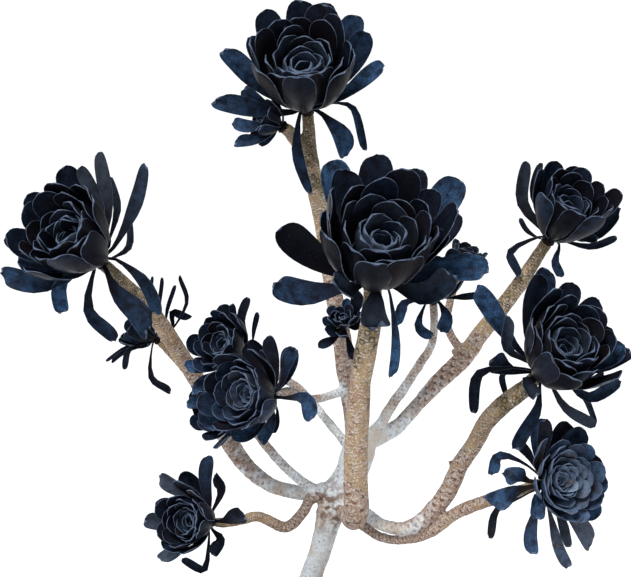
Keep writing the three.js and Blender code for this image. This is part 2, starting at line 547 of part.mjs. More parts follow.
// ---------------------------------------------------------------- leaves
// Width of a leaf along its length, as a share of its full width: narrow foot, widest at four
// fifths, rounded end.
const LEAF_STATIONS = [0, 0.42, 0.8, 0.95];
const LEAF_OUTLINE = [0.12, 0.63, 1, 0.76];
const SMALL_STATIONS = [0, 0.52, 0.88];
const SMALL_OUTLINE = [0.12, 0.78, 0.98];

// One leaf: a chevron section carried along the path and closed in a point.
function leafSolid(leaf, extra = 0) {
  const curve = new THREE.CatmullRomCurve3(leaf.path, false, "centripetal");
  const stations = leaf.small ? SMALL_STATIONS : LEAF_STATIONS;
  const outline = leaf.small ? SMALL_OUTLINE : LEAF_OUTLINE;
  let face = leaf.up.clone();
  const upright = (along) => face.addScaledVector(along, -face.dot(along)).normalize();
  const rings = stations.map((u, i) => {
    for (let walked = i ? stations[i - 1] : 0; walked < u; walked += 0.07) {
      upright(curve.getTangent(walked));
    }
    const p = curve.getPoint(u);
    const along = curve.getTangent(u);
    upright(along);
    const turnedFace = face.clone().applyAxisAngle(along, rad(leaf.roll * u));
    const side = along.clone().cross(turnedFace);
    const half = (leaf.width * outline[i]) / 2 + extra;
    const thick = Math.max(leaf.width * LEAF_THICKNESS, LEAF_LEAST) * mix(1.25, 0.6, u) + 2 * extra;
    const cup = 2 * half * LEAF_CUP * (u === 0 ? 0 : 1);
    const at = (s, n) => p.clone().addScaledVector(side, s).addScaledVector(turnedFace, n);
    return [at(-half, cup), at(0, -thick / 2), at(half, cup)];
  });
  return skin(rings, null, curve.getPoint(1));
}

const grows = (head) => {
  const axis = v3(head.axis).normalize();
  const across = new THREE.Vector3(1, 0, 0).addScaledVector(axis, -axis.x).normalize();
  return { axis, across, third: axis.clone().cross(across) };
};

// The leaf number i of a rosette's spiral of `count` leaves, counted from the outside. With t from 0
// at the bud to 1 outside, a leaf tilts further from the axis and grows longer, and its foot slides
// down the core; it sets out further from the axis than its tip ends, which makes the rosette a bowl.
function ruleLeaf(head, index, i, azimuthTurn = 0, tiltTurn = 0, shorter = 1) {
  const { axis, across, third } = grows(head);
  const seed = index * 100 + i;
  const t = 1 - i / (head.count - 1);
  const azimuth = rad(head.turn + i * GOLDEN + 14 * (rand(seed) - 0.5) + azimuthTurn);
  const tilt = mix(4, 100 - head.lift, Math.pow(t, 0.8)) + 8 * (rand(seed + 0.3) - 0.5) + tiltTurn;
  const length = head.reach * mix(0.24, 1.04, Math.pow(t, 0.62)) * mix(0.93, 1.08, rand(seed + 0.6));
  const bow = mix(60, 44, t) + 14 * (rand(seed + 0.8) - 0.5);
  const out = across.clone().multiplyScalar(Math.cos(azimuth));
  out.addScaledVector(third, Math.sin(azimuth));
  const aim = (degrees) =>
    axis.clone().multiplyScalar(Math.cos(rad(degrees))).addScaledVector(out, Math.sin(rad(degrees)));
  const path = [v3(head.base).addScaledVector(axis, head.reach * mix(0.17, 0.02, t) + 1)];
  const parts = [0.5, 0.17, -0.17, -0.5];
  parts.forEach((part) => {
    const step = (length * shorter) / parts.length;
    path.push(path[path.length - 1].clone().addScaledVector(aim(tilt + bow * part), step));
  });
  const slender = mix(0.6, 1, Math.min(t / 0.25, 1)) * mix(0.92, 1.08, rand(seed + 0.45));
  return {
    path,
    up: axis.clone().addScaledVector(out, -0.35),
    width: head.reach * head.wide * slender,
    roll: 26 * (rand(seed + 0.9) - 0.5) * mix(0.4, 1, t),
    small: head.reach < LARGE_REACH || t < 0.8,
  };
}

// The photograph's own directions: up in it, and towards the viewer.
const VIEW_UP = new THREE.Vector3(0, Math.sin(rad(VIEW_TILT)), Math.cos(rad(VIEW_TILT)));
const VIEW_NEAR = new THREE.Vector3(0, -Math.cos(rad(VIEW_TILT)), Math.sin(rad(VIEW_TILT)));

// The way a leaf's upper face looks, turned by a share from the rosette's axis to the viewer.
function facing(axis, share) {
  const face = axis.clone().multiplyScalar(1 - share).addScaledVector(VIEW_NEAR, share);
  return face.addScaledVector(VIEW_UP, 0.001);
}

// Where a leaf that was read off the photograph starts: on the core, just over the base.
function readStart(head, towards, width, roll) {
  const start = v3(head.base).addScaledVector(towards.clone().normalize(), 0.6 + rand(width * 3.7 + roll));
  return start.addScaledVector(grows(head).axis, 0.05 * head.reach + 2.5);
}

// A leaf placed by its tip: with s from 0 to 1 along it, it passes s times the tip plus 4 s (1 - s)
// times the belly, which points away from the axis.
function shownLeaf(head, shown, shift = [0, 0, 0]) {
  const { axis } = grows(head);
  const tip = new THREE.Vector3(shown.right, 0, 0);
  tip.addScaledVector(VIEW_UP, shown.up).addScaledVector(VIEW_NEAR, shown.near);
  const straight = tip.clone().normalize();
  const away = straight.clone().multiplyScalar(axis.dot(straight)).sub(axis).normalize();
  const passed = [0.33, 0.67, 1].map((s) =>
    tip.clone().multiplyScalar(s).addScaledVector(away, shown.belly * 4 * s * (1 - s)),
  );
  const path = [readStart(head, passed[0], shown.width, 0)];
  const push = v3(shift);
  passed.forEach((p, i) => path.push(p.clone().add(v3(head.base)).addScaledVector(push, (i + 1) / 3)));
  return { path, up: facing(axis, shown.facing), width: shown.width, roll: 0, small: head.reach < LARGE_REACH };
}

// A leaf whose path was read off the photograph, pushed by `shift` more and more towards its tip.
function readLeaf(head, old, shift = [0, 0, 0]) {
  const base = v3(head.base);
  const path = [readStart(head, v3(old.path[0]), old.width, old.roll)];
  const push = v3(shift);
  old.path.forEach((p, i) => path.push(v3(p).add(base).addScaledVector(push, (i + 1) / 3)));
  return { path, up: facing(grows(head).axis, 0.65), width: old.width, roll: old.roll / 2 };
}

// The short fleshy core of a rosette, from just above the end of its stem to the bud.
function buildCore(head) {
  const { axis } = grows(head);
  const rows = STEMS[head.name];
  const end = rows[rows.length - 1];
  const run = tangents(rows.map(v3))[rows.length - 1];
  const foot = v3(end).addScaledVector(run, GAP);
  const base = v3(head.base);
  const r = end[3];
  const ring = (p, along, radius, sides = 8) => {
    const side = new THREE.Vector3(1, 0.2, 0);
    side.addScaledVector(along, -side.dot(along)).normalize();
    const up = along.clone().cross(side);
    return Array.from({ length: sides }, (_, k) => {
      const a = (2 * Math.PI * k) / sides;
      const corner = p.clone().addScaledVector(side, radius * Math.cos(a));
      return corner.addScaledVector(up, radius * Math.sin(a));
    });
  };
  const mean = run.clone().add(axis).normalize();
  return skin(
    [
      ring(foot, run, r * 0.98),
      ring(base.clone().addScaledVector(mean, 0.06 * head.reach), mean, r * 1.15 + 0.5),
      ring(base.clone().addScaledVector(axis, 0.24 * head.reach), axis, r * 0.9 + 0.5),
    ],
    null,
    base.clone().addScaledVector(axis, 0.44 * head.reach),
  );
}

// ---------------------------------------------------------------- rosettes
const overlaps = (a, b) => {
  const p = a.boundingBox();
  const q = b.boundingBox();
  const apart = [0, 1, 2].some((k) => p.min[k] > q.max[k] || q.min[k] > p.max[k]);
  return !apart && a.intersect(b).volume() > 1e-6;
};

// Ways in which a leaf gives way when it would cross another piece, the slightest first.
const GIVES = [[0, 0, 1]];
for (const step of [7, 14, 22, 32]) {
  GIVES.push([step, 0, 1], [-step, 0, 1], [0, -step, 1], [step, -step, 0.95], [-step, -step, 0.95]);
  GIVES.push([0, step * 0.6, 1], [0, 0, 1 - step / 90]);
}
const PUSHES = [[0, 0, 0]];
for (const step of [5, 10, 16, 24]) {
  PUSHES.push([0, -step, 0], [0, step, 0], [0, 0, -step], [0, 0, step], [-step, 0, 0], [step, 0, 0]);
  PUSHES.push([-step, -step, 0], [step, -step, 0]);
}

function buildRosettes(stems) {
  const heads = HEADS.map((head, index) => ({ head, index, leaves: [], core: buildCore(head) }));
  const free = (mine, leaf) => {
    const trial = leafSolid(leaf, CLEAR / 2);
    if (overlaps(trial, stems)) return false;
    return heads.every(
      (other) =>
        other === mine || !(overlaps(trial, other.core) || other.leaves.some((l) => overlaps(trial, l))),
    );
  };
  const place = (mine, ways, make, label) => {
    const way = ways.find((w) => free(mine, make(w)));
    if (way) mine.leaves.push(leafSolid(make(way)));
    else left.push(label);
  };
  const left = [];
  for (const mine of heads) {
    (mine.head.shown ?? []).forEach((shown, k) =>
      place(mine, PUSHES, (push) => shownLeaf(mine.head, shown, push), `${mine.head.name} shown ${k}`),
    );
    mine.head.old.forEach((old, k) =>
      place(mine, PUSHES, (push) => readLeaf(mine.head, old, push), `${mine.head.name} read ${k}`),
    );
  }
  for (const mine of heads) {
    for (let i = 0; i < mine.head.count; i += i < mine.head.outer ? 1 : THIN_OUT) {
      const make = ([a, b, s]) => ruleLeaf(mine.head, mine.index, i, a, b, s);
      place(mine, GIVES, make, `${mine.head.name} rule ${i}`);
    }
  }
  if (left.length) console.log("leaves with no room:", left.join(", "));
  return heads;
}

// ---------------------------------------------------------------- meshes
// Keeps the outer skin only: a hollow shut in between fused leaves is filled.
function closed(body, sliver) {
  const tidy = body.simplify(sliver);
  const shells = tidy.decompose();
  return shells.reduce((best, s) => (s.volume() > best.volume() ? s : best));
}

function meshOf(name, body, colour, roughness, sliver = SLIVER) {
  const mesh = closed(body, sliver).getMesh();
  const geometry = new THREE.BufferGeometry();
  geometry.setAttribute("position", new THREE.BufferAttribute(mesh.vertProperties.slice(), 3));
  geometry.setIndex(new THREE.BufferAttribute(mesh.triVerts.slice(), 1));
  const made = new THREE.Mesh(
    mergeVertices(geometry, 1e-4),
    new THREE.MeshStandardMaterial({ color: colour, roughness, flatShading: true }),
  );
  made.name = name;
  return made;
}

const plant = new THREE.Group();
plant.name = "potted_aeonium";
const stems = buildStems();
plant.add(meshOf("pot", buildPot(), 0xb5694a, 0.85));
plant.add(meshOf("soil", buildSoil(), 0x3a2d24, 0.95));
plant.add(meshOf("stems", stems, 0xb7a48c, 0.8));
for (const { head, core, leaves } of buildRosettes(stems)) {
  const body = leaves.reduce((all, leaf) => all.add(leaf), core);
  plant.add(meshOf(`rosette_${head.name}`, body, 0x1d2430, 0.4, LEAF_SLIVER));
}

export default plant;
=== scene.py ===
"""Potted aeonium: a dark tree succulent with leaf rosettes at its stem ends, in a plain clay pot.

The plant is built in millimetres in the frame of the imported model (+Z up, the origin under the
middle of the pot, the viewer of the photograph at -Y) and scaled to metres when a mesh is made.
"""

from __future__ import annotations

import logging
import math
from dataclasses import dataclass, field, fields
from enum import Enum
from itertools import combinations

import bpy
import numpy as np
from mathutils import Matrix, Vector
from mathutils.bvhtree import BVHTree

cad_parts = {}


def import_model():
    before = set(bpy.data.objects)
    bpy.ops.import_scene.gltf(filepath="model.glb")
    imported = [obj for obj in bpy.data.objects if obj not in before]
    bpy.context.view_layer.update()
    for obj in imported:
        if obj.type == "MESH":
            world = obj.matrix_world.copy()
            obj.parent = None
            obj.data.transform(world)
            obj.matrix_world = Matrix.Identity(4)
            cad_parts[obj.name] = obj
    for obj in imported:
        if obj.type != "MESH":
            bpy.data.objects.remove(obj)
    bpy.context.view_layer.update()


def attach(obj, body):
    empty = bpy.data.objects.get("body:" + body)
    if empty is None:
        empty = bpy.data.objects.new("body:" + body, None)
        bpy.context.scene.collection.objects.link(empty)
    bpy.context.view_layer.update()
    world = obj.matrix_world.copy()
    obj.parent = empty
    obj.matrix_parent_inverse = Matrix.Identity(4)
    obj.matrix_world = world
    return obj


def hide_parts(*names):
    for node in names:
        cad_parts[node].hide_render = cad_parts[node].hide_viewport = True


LOG = logging.getLogger("aeonium")

Triple = tuple[float, float, float]
Row = tuple[float, float, float, float]
Colour = Triple

MM = 0.001  # metres in a millimetre
GOLDEN = 137.508  # degrees from one leaf to the next round a rosette
GAP = 0.3  # mm between pieces that stand in or on each other

POT_HEIGHT = 250.0
POT_FOOT_RADIUS = 94.0
POT_RIM_RADIUS = 140.0
POT_BAND_HEIGHT = 44.0
POT_BAND_STEP = 6.0
POT_WALL = 9.0
POT_FLOOR = 12.0
DRAIN_HOLES = 3
DRAIN_RADIUS = 7.0
DRAIN_CIRCLE = 46.0
SOIL_TOP = 229.0
SOIL_MOUND = 7.0
TRUNK_FOOT = 164.0  # height of the trunk's lower end, inside the soil

CAMERA_DISTANCE = 3000.0
CAMERA_HEIGHT_ANGLE = 10.0
CAMERA_TARGET = (0.0, 0.0, 595.0)
PHOTO_WIDTH = 631
SENSOR_WIDTH = 36.0
# The photograph's own directions: to its right, up in it, and towards the viewer.
VIEW_TILT = math.radians(CAMERA_HEIGHT_ANGLE)
VIEW_RIGHT = np.array([1.0, 0.0, 0.0])
VIEW_UP = np.array([0.0, math.sin(VIEW_TILT), math.cos(VIEW_TILT)])
VIEW_NEAR = np.array([0.0, -math.cos(VIEW_TILT), math.sin(VIEW_TILT)])

# Centre lines of the trunk and the branches: x, y, z and the radius there, in mm.
BRANCHES: dict[str, list[Row]] = {
    "trunk": [
        (-16, 8, 164, 13.6), (-16, 8, 198, 13.4), (-16, 8, 232, 13.2), (-13, 7, 264, 12.5),
        (-5, 5, 295, 11.4), (3, 3, 318, 11), (10, 1, 343, 11.8), (15, 0, 364, 14),
        (20, 0, 381, 15.5), (29, 2, 394, 15.5), (37, 4, 408, 16), (43, 6, 425, 17),
        (46, 8, 438, 15),
    ],
    "rear_tall": [
        (42, 12, 421, 11), (40, 14, 452, 10.5), (36, 12, 478, 9.5), (31, 10, 505, 9),
        (27, 8, 538, 9.6), (23, 8, 561, 9.3), (19, 10, 585, 8.6), (15, 12, 607, 8.5),
        (12, 14, 632, 8.4), (7, 16, 659, 8.2), (1, 18, 688, 8.2), (-4, 20, 717, 8),
        (-6, 20, 737, 6.8), (-7, 20, 757, 6.2), (-8, 20, 768, 6.2),
    ],
    "rear_tall_side": [
        (-8, 20, 731, 5.6), (-17, 18, 739, 6.6), (-26, 15, 751, 6.4), (-31, 12, 755, 6),
    ],
    "front": [
        (28, -2, 375, 11), (34, -22, 368, 10.6), (39, -42, 369, 11.5), (41, -54, 383, 12.2),
        (40, -60, 403, 12.2), (40, -70, 446, 11.8), (42, -80, 488, 11.2), (44, -87, 517, 10.4),
        (49, -95, 551, 10.8), (54, -102, 582, 10.4), (55, -107, 605, 9.2), (55, -108, 616, 8.6),
    ],
    "right_upper": [
        (46, 8, 437, 13), (63, 18, 439, 9.2), (81, 26, 446, 7.7), (99, 34, 463, 7),
        (114, 40, 479, 7.7), (127, 44, 492, 8.7), (150, 50, 513, 9.5), (168, 56, 537, 9),
        (188, 60, 562, 8.5), (209, 64, 589, 7.8), (229, 68, 620, 6.6), (236, 68, 630, 6.3),
    ],
    "right_inner": [
        (56, 14, 440, 8.6), (66, 18, 452, 6), (77, 22, 470, 5.3), (91, 24, 490, 5),
        (106, 22, 514, 4.6), (116, 16, 532, 4.3), (119, 10, 548, 4.2), (119, 4, 565, 4.2),
        (118, 0, 580, 4.2),
    ],
    "right_inner_side": [
        (155, 50, 515, 6), (150, 54, 520, 4.9), (144, 58, 527, 4.4), (136, 62, 541, 4.2),
        (135, 65, 556, 4.1), (139, 66, 575, 4), (145, 66, 591, 4), (149, 66, 603, 4),
    ],
    "right_lower": [
        (25, -4, 375, 10), (38, -14, 373, 8.2), (50, -22, 369, 6.9), (65, -32, 361, 6.3),
        (84, -40, 358, 6.6), (102, -46, 365, 7.6), (119, -50, 382, 8.6), (132, -52, 400, 9),
        (143, -54, 426, 8.8), (158, -56, 450, 8.5), (168, -58, 470, 8.8), (185, -60, 489, 9.2),
        (205, -62, 505, 8.6), (214, -63, 515, 7.2), (217, -63, 518, 7),
    ],
    "right_bottom": [
        (23, -4, 370, 9), (38, -12, 362, 6.4), (50, -18, 354, 5.2), (65, -26, 346, 4.7),
        (82, -34, 345, 4.8), (103, -42, 350, 5.2), (119, -50, 360, 5.8), (136, -58, 376, 6.3),
        (152, -64, 386, 6.5), (173, -70, 395, 6.3), (192, -74, 402, 5.9), (211, -78, 410, 5.5),
        (223, -80, 415, 5.3),
    ],
    "left_long": [
        (11, 0, 386, 10), (-10, 4, 384, 7.7), (-24, 10, 384, 7.3), (-44, 18, 388, 7.5),
        (-65, 26, 401, 8.3), (-81, 32, 419, 9), (-93, 36, 439, 9.3), (-106, 38, 465, 9.2),
        (-115, 38, 483, 9), (-124, 36, 500, 8.8), (-136, 30, 520, 8.8), (-148, 22, 542, 8.7),
        (-159, 14, 561, 8.3), (-172, 4, 580, 7.6), (-192, -8, 603, 6.8), (-206, -16, 618, 6.3),
        (-210, -18, 622, 6.2),
    ],
    "left_long_side": [
        (-130, 34, 506, 5.4), (-140, 40, 513, 4.2), (-150, 43, 523, 3.9), (-159, 44, 532, 3.8),
    ],
    "left_inner": [
        (35, 12, 490, 6.5), (25, 6, 488, 4.7), (10, -4, 485, 4.3), (-4, -14, 485, 4.3),
        (-15, -26, 491, 4.4), (-27, -40, 498, 4.4), (-35, -48, 498, 4.5), (-40, -52, 496, 4.5),
    ],
    "left_back": [
        (35, 4, 432, 6.5), (25, 2, 443, 4.6), (11, 8, 459, 4.3), (-3, 14, 475, 4.3),
        (-18, 18, 490, 4.3), (-36, 16, 502, 4.3), (-54, 10, 514, 4.3), (-66, 5, 523, 4.3),
        (-70, 4, 526, 4.3),
    ],
    "left_middle": [
        (7, -2, 384, 7), (-10, -4, 395, 5.4), (-19, -8, 403, 5), (-34, -10, 418, 4.8),
        (-50, -8, 436, 4.7), (-62, -2, 451, 4.6), (-70, 4, 462, 4.5), (-75, 8, 468, 4.5),
    ],
    "left_bottom": [
        (11, -2, 382, 8), (-4, -8, 381, 5.8), (-13, -14, 368, 5.5), (-23, -20, 358, 5.7),
        (-33, -26, 356, 5.7), (-46, -32, 364, 5.4), (-58, -38, 370, 5.2), (-71, -44, 369, 5),
        (-87, -50, 367, 4.8), (-101, -54, 368, 4.8),
    ],
    "middle_side": [
        (27, 6, 535, 5), (28, -8, 544, 3.9), (28, -16, 552, 3.4), (29, -20, 558, 3.4),
    ],
}

# Age of the bark at each branch's foot and end: 0 olive with fresh scars, 1 whitish grey.
BARK_AGES: dict[str, tuple[float, float]] = {
    "trunk": (1.0, 0.95),
    "rear_tall": (0.78, 0.1),
    "rear_tall_side": (0.4, 0.3),
    "front": (0.68, 0.12),
    "right_upper": (1, 0.1),
    "right_inner": (0.85, 0.62),
    "right_inner_side": (0.6, 0.45),
    "right_lower": (1.02, 0.1),
    "right_bottom": (0.75, 0.3),
    "left_long": (0.93, 0.12),
    "left_long_side": (0.5, 0.4),
    "left_inner": (0.85, 0.6),
    "left_back": (0.85, 0.6),
    "left_middle": (0.85, 0.6),
    "left_bottom": (0.7, 0.25),
    "middle_side": (0.5, 0.5),
}

# Two short dried spurs where a branch once grew, as rows like the branches' own.
SPURS: list[list[Row]] = [
    [(139, -53, 425, 4.5), (135, -53, 428, 3.0), (131, -53, 430, 1.2)],
    [(141, 48, 520, 4.0), (144, 44, 524, 3.0), (147, 40, 527, 1.4)],
]

SCAR_RISE = 0.021  # of the way round a stem, from one leaf scar to the next along it
SCAR_LEAST_RADIUS = 3.5  # mm; on a thinner stem the scars stand as far apart as at this radius
# What a whole turn and one scar add to the two directions of the bark's pattern map.
PATTERN_PER_TURN = (-8, 5)
PATTERN_PER_SCAR = (0.0557, 0.0902)


# ------------------------------------------------------------------------------- numbers


def rand(key: np.ndarray | float) -> np.ndarray:
    """A repeatable number from 0 to 1: the fraction of sin(key * 12.9898) * 43758.5453."""
    value = np.sin(np.asarray(key, dtype=float) * 12.9898) * 43758.5453
    return value - np.floor(value)


def jitter(key: np.ndarray | float, spread: float) -> np.ndarray:
    """A repeatable number up to half the spread below or above 0: spread * (rand - 1/2)."""
    return spread * (rand(key) - 0.5)


def mix(low: float | np.ndarray, high: float | np.ndarray, share: float | np.ndarray) -> np.ndarray:
    """The value that lies `share` of the way from low to high."""
    return low + (high - low) * share


def unit(vectors: np.ndarray) -> np.ndarray:
    """The vectors divided by their own lengths."""
    length = np.linalg.norm(vectors, axis=-1, keepdims=True)
    return vectors / np.maximum(length, 1e-9)


def square_to(vectors: np.ndarray, along: np.ndarray) -> np.ndarray:
    """The part of each vector that is at right angles to `along`, made one long."""
    return unit(vectors - along * np.sum(vectors * along, axis=-1, keepdims=True))


def carried(start: np.ndarray, along: np.ndarray) -> np.ndarray:
    """A direction carried along a line without turning about it: at each place it is the direction
    of the place before, made square to the line.

    Args:
        start: The first direction, shape (..., 3).
        along: The line's own directions, shape (..., places, 3).

    Returns:
        The carried directions, shape (..., places, 3).
    """
    found = np.empty_like(along)
    held = start
    for j in range(along.shape[-2]):
        held = square_to(held, along[..., j, :])
        found[..., j, :] = held
    return found


def spline(points: np.ndarray, where: np.ndarray) -> np.ndarray:
    """Catmull-Rom curves: between two points runs the cubic whose slope at each of them is half
    the step between that point's two neighbours.

    Args:
        points: The points passed, shape (..., points, 3).
        where: Places along the curve from 0 to 1, shape (places,).

    Returns:
        The places on the curves, shape (..., places, 3).
    """
    first = 2 * points[..., :1, :] - points[..., 1:2, :]
    last = 2 * points[..., -1:, :] - points[..., -2:-1, :]
    all_points = np.concatenate([first, points, last], axis=-2)
    runs = points.shape[-2] - 1
    place = np.clip(where, 0.0, 1.0) * runs
    start = np.minimum(place.astype(int), runs - 1)
    f = (place - start)[:, None]
    a, b, c, d = (all_points[..., start + step, :] for step in range(4))
    cubic = (3 * b - a - 3 * c + d) * f**3
    return 0.5 * (2 * b + (c - a) * f + (2 * a - 5 * b + 4 * c - d) * f**2 + cubic)


def ripple(points: np.ndarray, size: float, seed: float = 0.0, waves: int = 6) -> np.ndarray:
    """Soft random relief from about -1 to 1: 1.6 times the mean of some sine waves with seeded
    directions and phases, each 0.7 to 1.5 times `size` long.

    Args:
        points: Places in mm, shape (..., 3).
        size: The usual wavelength in mm.
        seed: Chooses another pattern.
        waves: How many waves are laid over each other.

    Returns:
        One value per place.
    """
    total = np.zeros(points.shape[:-1])
    for wave in range(waves):
        direction = unit(rand(np.array([1.0, 2.0, 3.0]) + 7 * wave + seed) - 0.5)
        length = size * (0.7 + 0.8 * rand(wave + seed + 0.5))
        phase = 6.28 * rand(wave * 3.1 + seed + 0.2)
        total += np.sin(points @ direction * (6.2832 / length) + phase)
    return total / waves * 1.6


# ------------------------------------------------------------------------------- meshes


@dataclass
class Skin:
    """A polygon surface under construction: corners in mm, faces with four or three corners, one
    texture place per face corner and named values per corner point."""

    points: np.ndarray
    quads: np.ndarray
    tris: np.ndarray = field(default_factory=lambda: np.zeros((0, 3), dtype=int))
    quad_uv: np.ndarray | None = None
    tri_uv: np.ndarray | None = None
    values: dict[str, np.ndarray] = field(default_factory=dict)

    def object(self, name: str, material: bpy.types.Material, smooth: bool = True) -> bpy.types.Object:
        """Puts the surface into the scene as an object at the origin.

        Args:
            name: The piece's name.
            material: Its finish.
            smooth: Whether its faces are shaded smooth.

        Returns:
            The new object.
        """
        mesh = bpy.data.meshes.new(name)
        mesh.vertices.add(len(self.points))
        mesh.vertices.foreach_set("co", (self.points * MM).astype(np.float32).ravel())
        corners = np.concatenate([self.quads.ravel(), self.tris.ravel()]).astype(np.int32)
        mesh.loops.add(len(corners))
        mesh.loops.foreach_set("vertex_index", corners)
        sizes = np.concatenate([np.full(len(self.quads), 4), np.full(len(self.tris), 3)])
        starts = np.concatenate([[0], np.cumsum(sizes)[:-1]]).astype(np.int32)
        mesh.polygons.add(len(sizes))
        mesh.polygons.foreach_set("loop_start", starts)
        mesh.polygons.foreach_set("use_smooth", np.full(len(sizes), smooth))
        if self.quad_uv is not None:
            parts = [self.quad_uv.reshape(-1, 2)]
            if self.tri_uv is not None:
                parts.append(self.tri_uv.reshape(-1, 2))
            layer = mesh.uv_layers.new(name="pattern")
            layer.uv.foreach_set("vector", np.concatenate(parts).astype(np.float32).ravel())
        for label, value in self.values.items():
            layer = mesh.attributes.new(label, "FLOAT", "POINT")
            layer.data.foreach_set("value", value.astype(np.float32).ravel())
        mesh.materials.append(material)
        mesh.update(calc_edges=True)
        mesh.validate(clean_customdata=False)
        made = bpy.data.objects.new(name, mesh)
        bpy.context.scene.collection.objects.link(made)
        LOG.info("%s: %d corners, %d faces", name, len(self.points), len(sizes))
        return made


def joined(skins: list[Skin]) -> Skin:
    """One surface from several with the same named values."""
    offset = 0
    quads = []
    tris = []
    for skin in skins:
        quads.append(skin.quads + offset)
        tris.append(skin.tris + offset)
        offset += len(skin.points)
    has_uv = skins[0].quad_uv is not None
    return Skin(
        np.concatenate([s.points for s in skins]),
        np.concatenate(quads),
        np.concatenate(tris),
        np.concatenate([s.quad_uv for s in skins]) if has_uv else None,
        np.concatenate([s.tri_uv for s in skins]) if has_uv else None,
        {k: np.concatenate([s.values[k] for s in skins]) for k in skins[0].values},
    )


def ring_faces(count: int, rings: int, sides: int) -> np.ndarray:
    """Quads between neighbouring rings of `count` separate tubes whose corners are stored tube by
    tube, ring by ring.

    Args:
        count: How many tubes there are.
        rings: Rings in a tube.
        sides: Corners in a ring.

    Returns:
        Corner numbers, shape (count * (rings - 1) * sides, 4).
    """
    k, r, s = np.meshgrid(np.arange(count), np.arange(rings - 1), np.arange(sides), indexing="ij")
    a = (k * rings + r) * sides + s
    b = (k * rings + r) * sides + (s + 1) % sides
    return np.stack([a, b, b + sides, a + sides], axis=-1).reshape(-1, 4)


def capped(points: np.ndarray, sides: int, ends: np.ndarray) -> Skin:
    """A stack of rings closed by a fan of triangles at either end.

    Args:
        points: The rings' corners, ring by ring, shape (rings * sides, 3).
        sides: Corners in a ring.
        ends: The middles of the first and the last fan, shape (2, 3).

    Returns:
        The closed surface.
    """
    total = len(points)
    last = total - sides
    side = np.arange(sides)
    after = (side + 1) % sides
    low = np.stack([after, side, np.full(sides, total)], axis=-1)
    high = np.stack([last + side, last + after, np.full(sides, total + 1)], axis=-1)
    quads = ring_faces(1, total // sides, sides)
    return Skin(np.concatenate([points, ends]), quads, np.concatenate([low, high]))


def turned(profile: list[tuple[float, float]], sides: int, seed: float, wobble: float) -> Skin:
    """A turned body: the corner at angle a of the profile's point (r, z) is (r cos a, r sin a, z),
    moved in and out by a soft ripple. The first and last points lie on the axis.

    Args:
        profile: Radius and height of each ring in mm.
        sides: Corners in a ring.
        seed: Chooses the ripple.
        wobble: Height of the ripple in mm.

    Returns:
        The closed surface.
    """
    radius, height = np.array(profile[1:-1]).T
    angle = np.arange(sides) * 2 * np.pi / sides
    x = radius[:, None] * np.cos(angle)
    y = radius[:, None] * np.sin(angle)
    z = np.broadcast_to(height[:, None], x.shape)
    points = np.stack([x, y, z], axis=-1).reshape(-1, 3)
    out = unit(points * [1, 1, 0])
    points = points + out * (wobble * ripple(points, 60, seed))[:, None]
    poles = np.array([[0, 0, profile[0][1]], [0, 0, profile[-1][1]]], dtype=float)
    return capped(points, sides, poles)


def tube(middle: np.ndarray, radius: np.ndarray, sides: int, values: dict[str, float]) -> Skin:
    """A round tube: a circle of the given radius carried along a line without turning about it.

    Args:
        middle: The line's points in mm.
        radius: The radius at each.
        sides: Corners round it.
        values: Values for the finish, the same all over.

    Returns:
        The closed surface.
    """
    along = unit(np.gradient(middle, axis=0))
    side = carried(np.array([1.0, 0.2, 0.0]), along)
    up = np.cross(along, side)
    angle = np.arange(sides) * 2 * np.pi / sides
    circle = side[:, None] * np.cos(angle)[None, :, None] + up[:, None] * np.sin(angle)[None, :, None]
    points = (middle[:, None] + circle * radius[:, None, None]).reshape(-1, 3)
    skin = capped(points, sides, np.concatenate([middle[:1], middle[-1:]]))
    skin.quad_uv = np.zeros((*skin.quads.shape, 2))
    skin.tri_uv = np.zeros((*skin.tris.shape, 2))
    skin.values = {name: np.full(len(skin.points), value) for name, value in values.items()}
    return skin


# ------------------------------------------------------------------------------- finishes


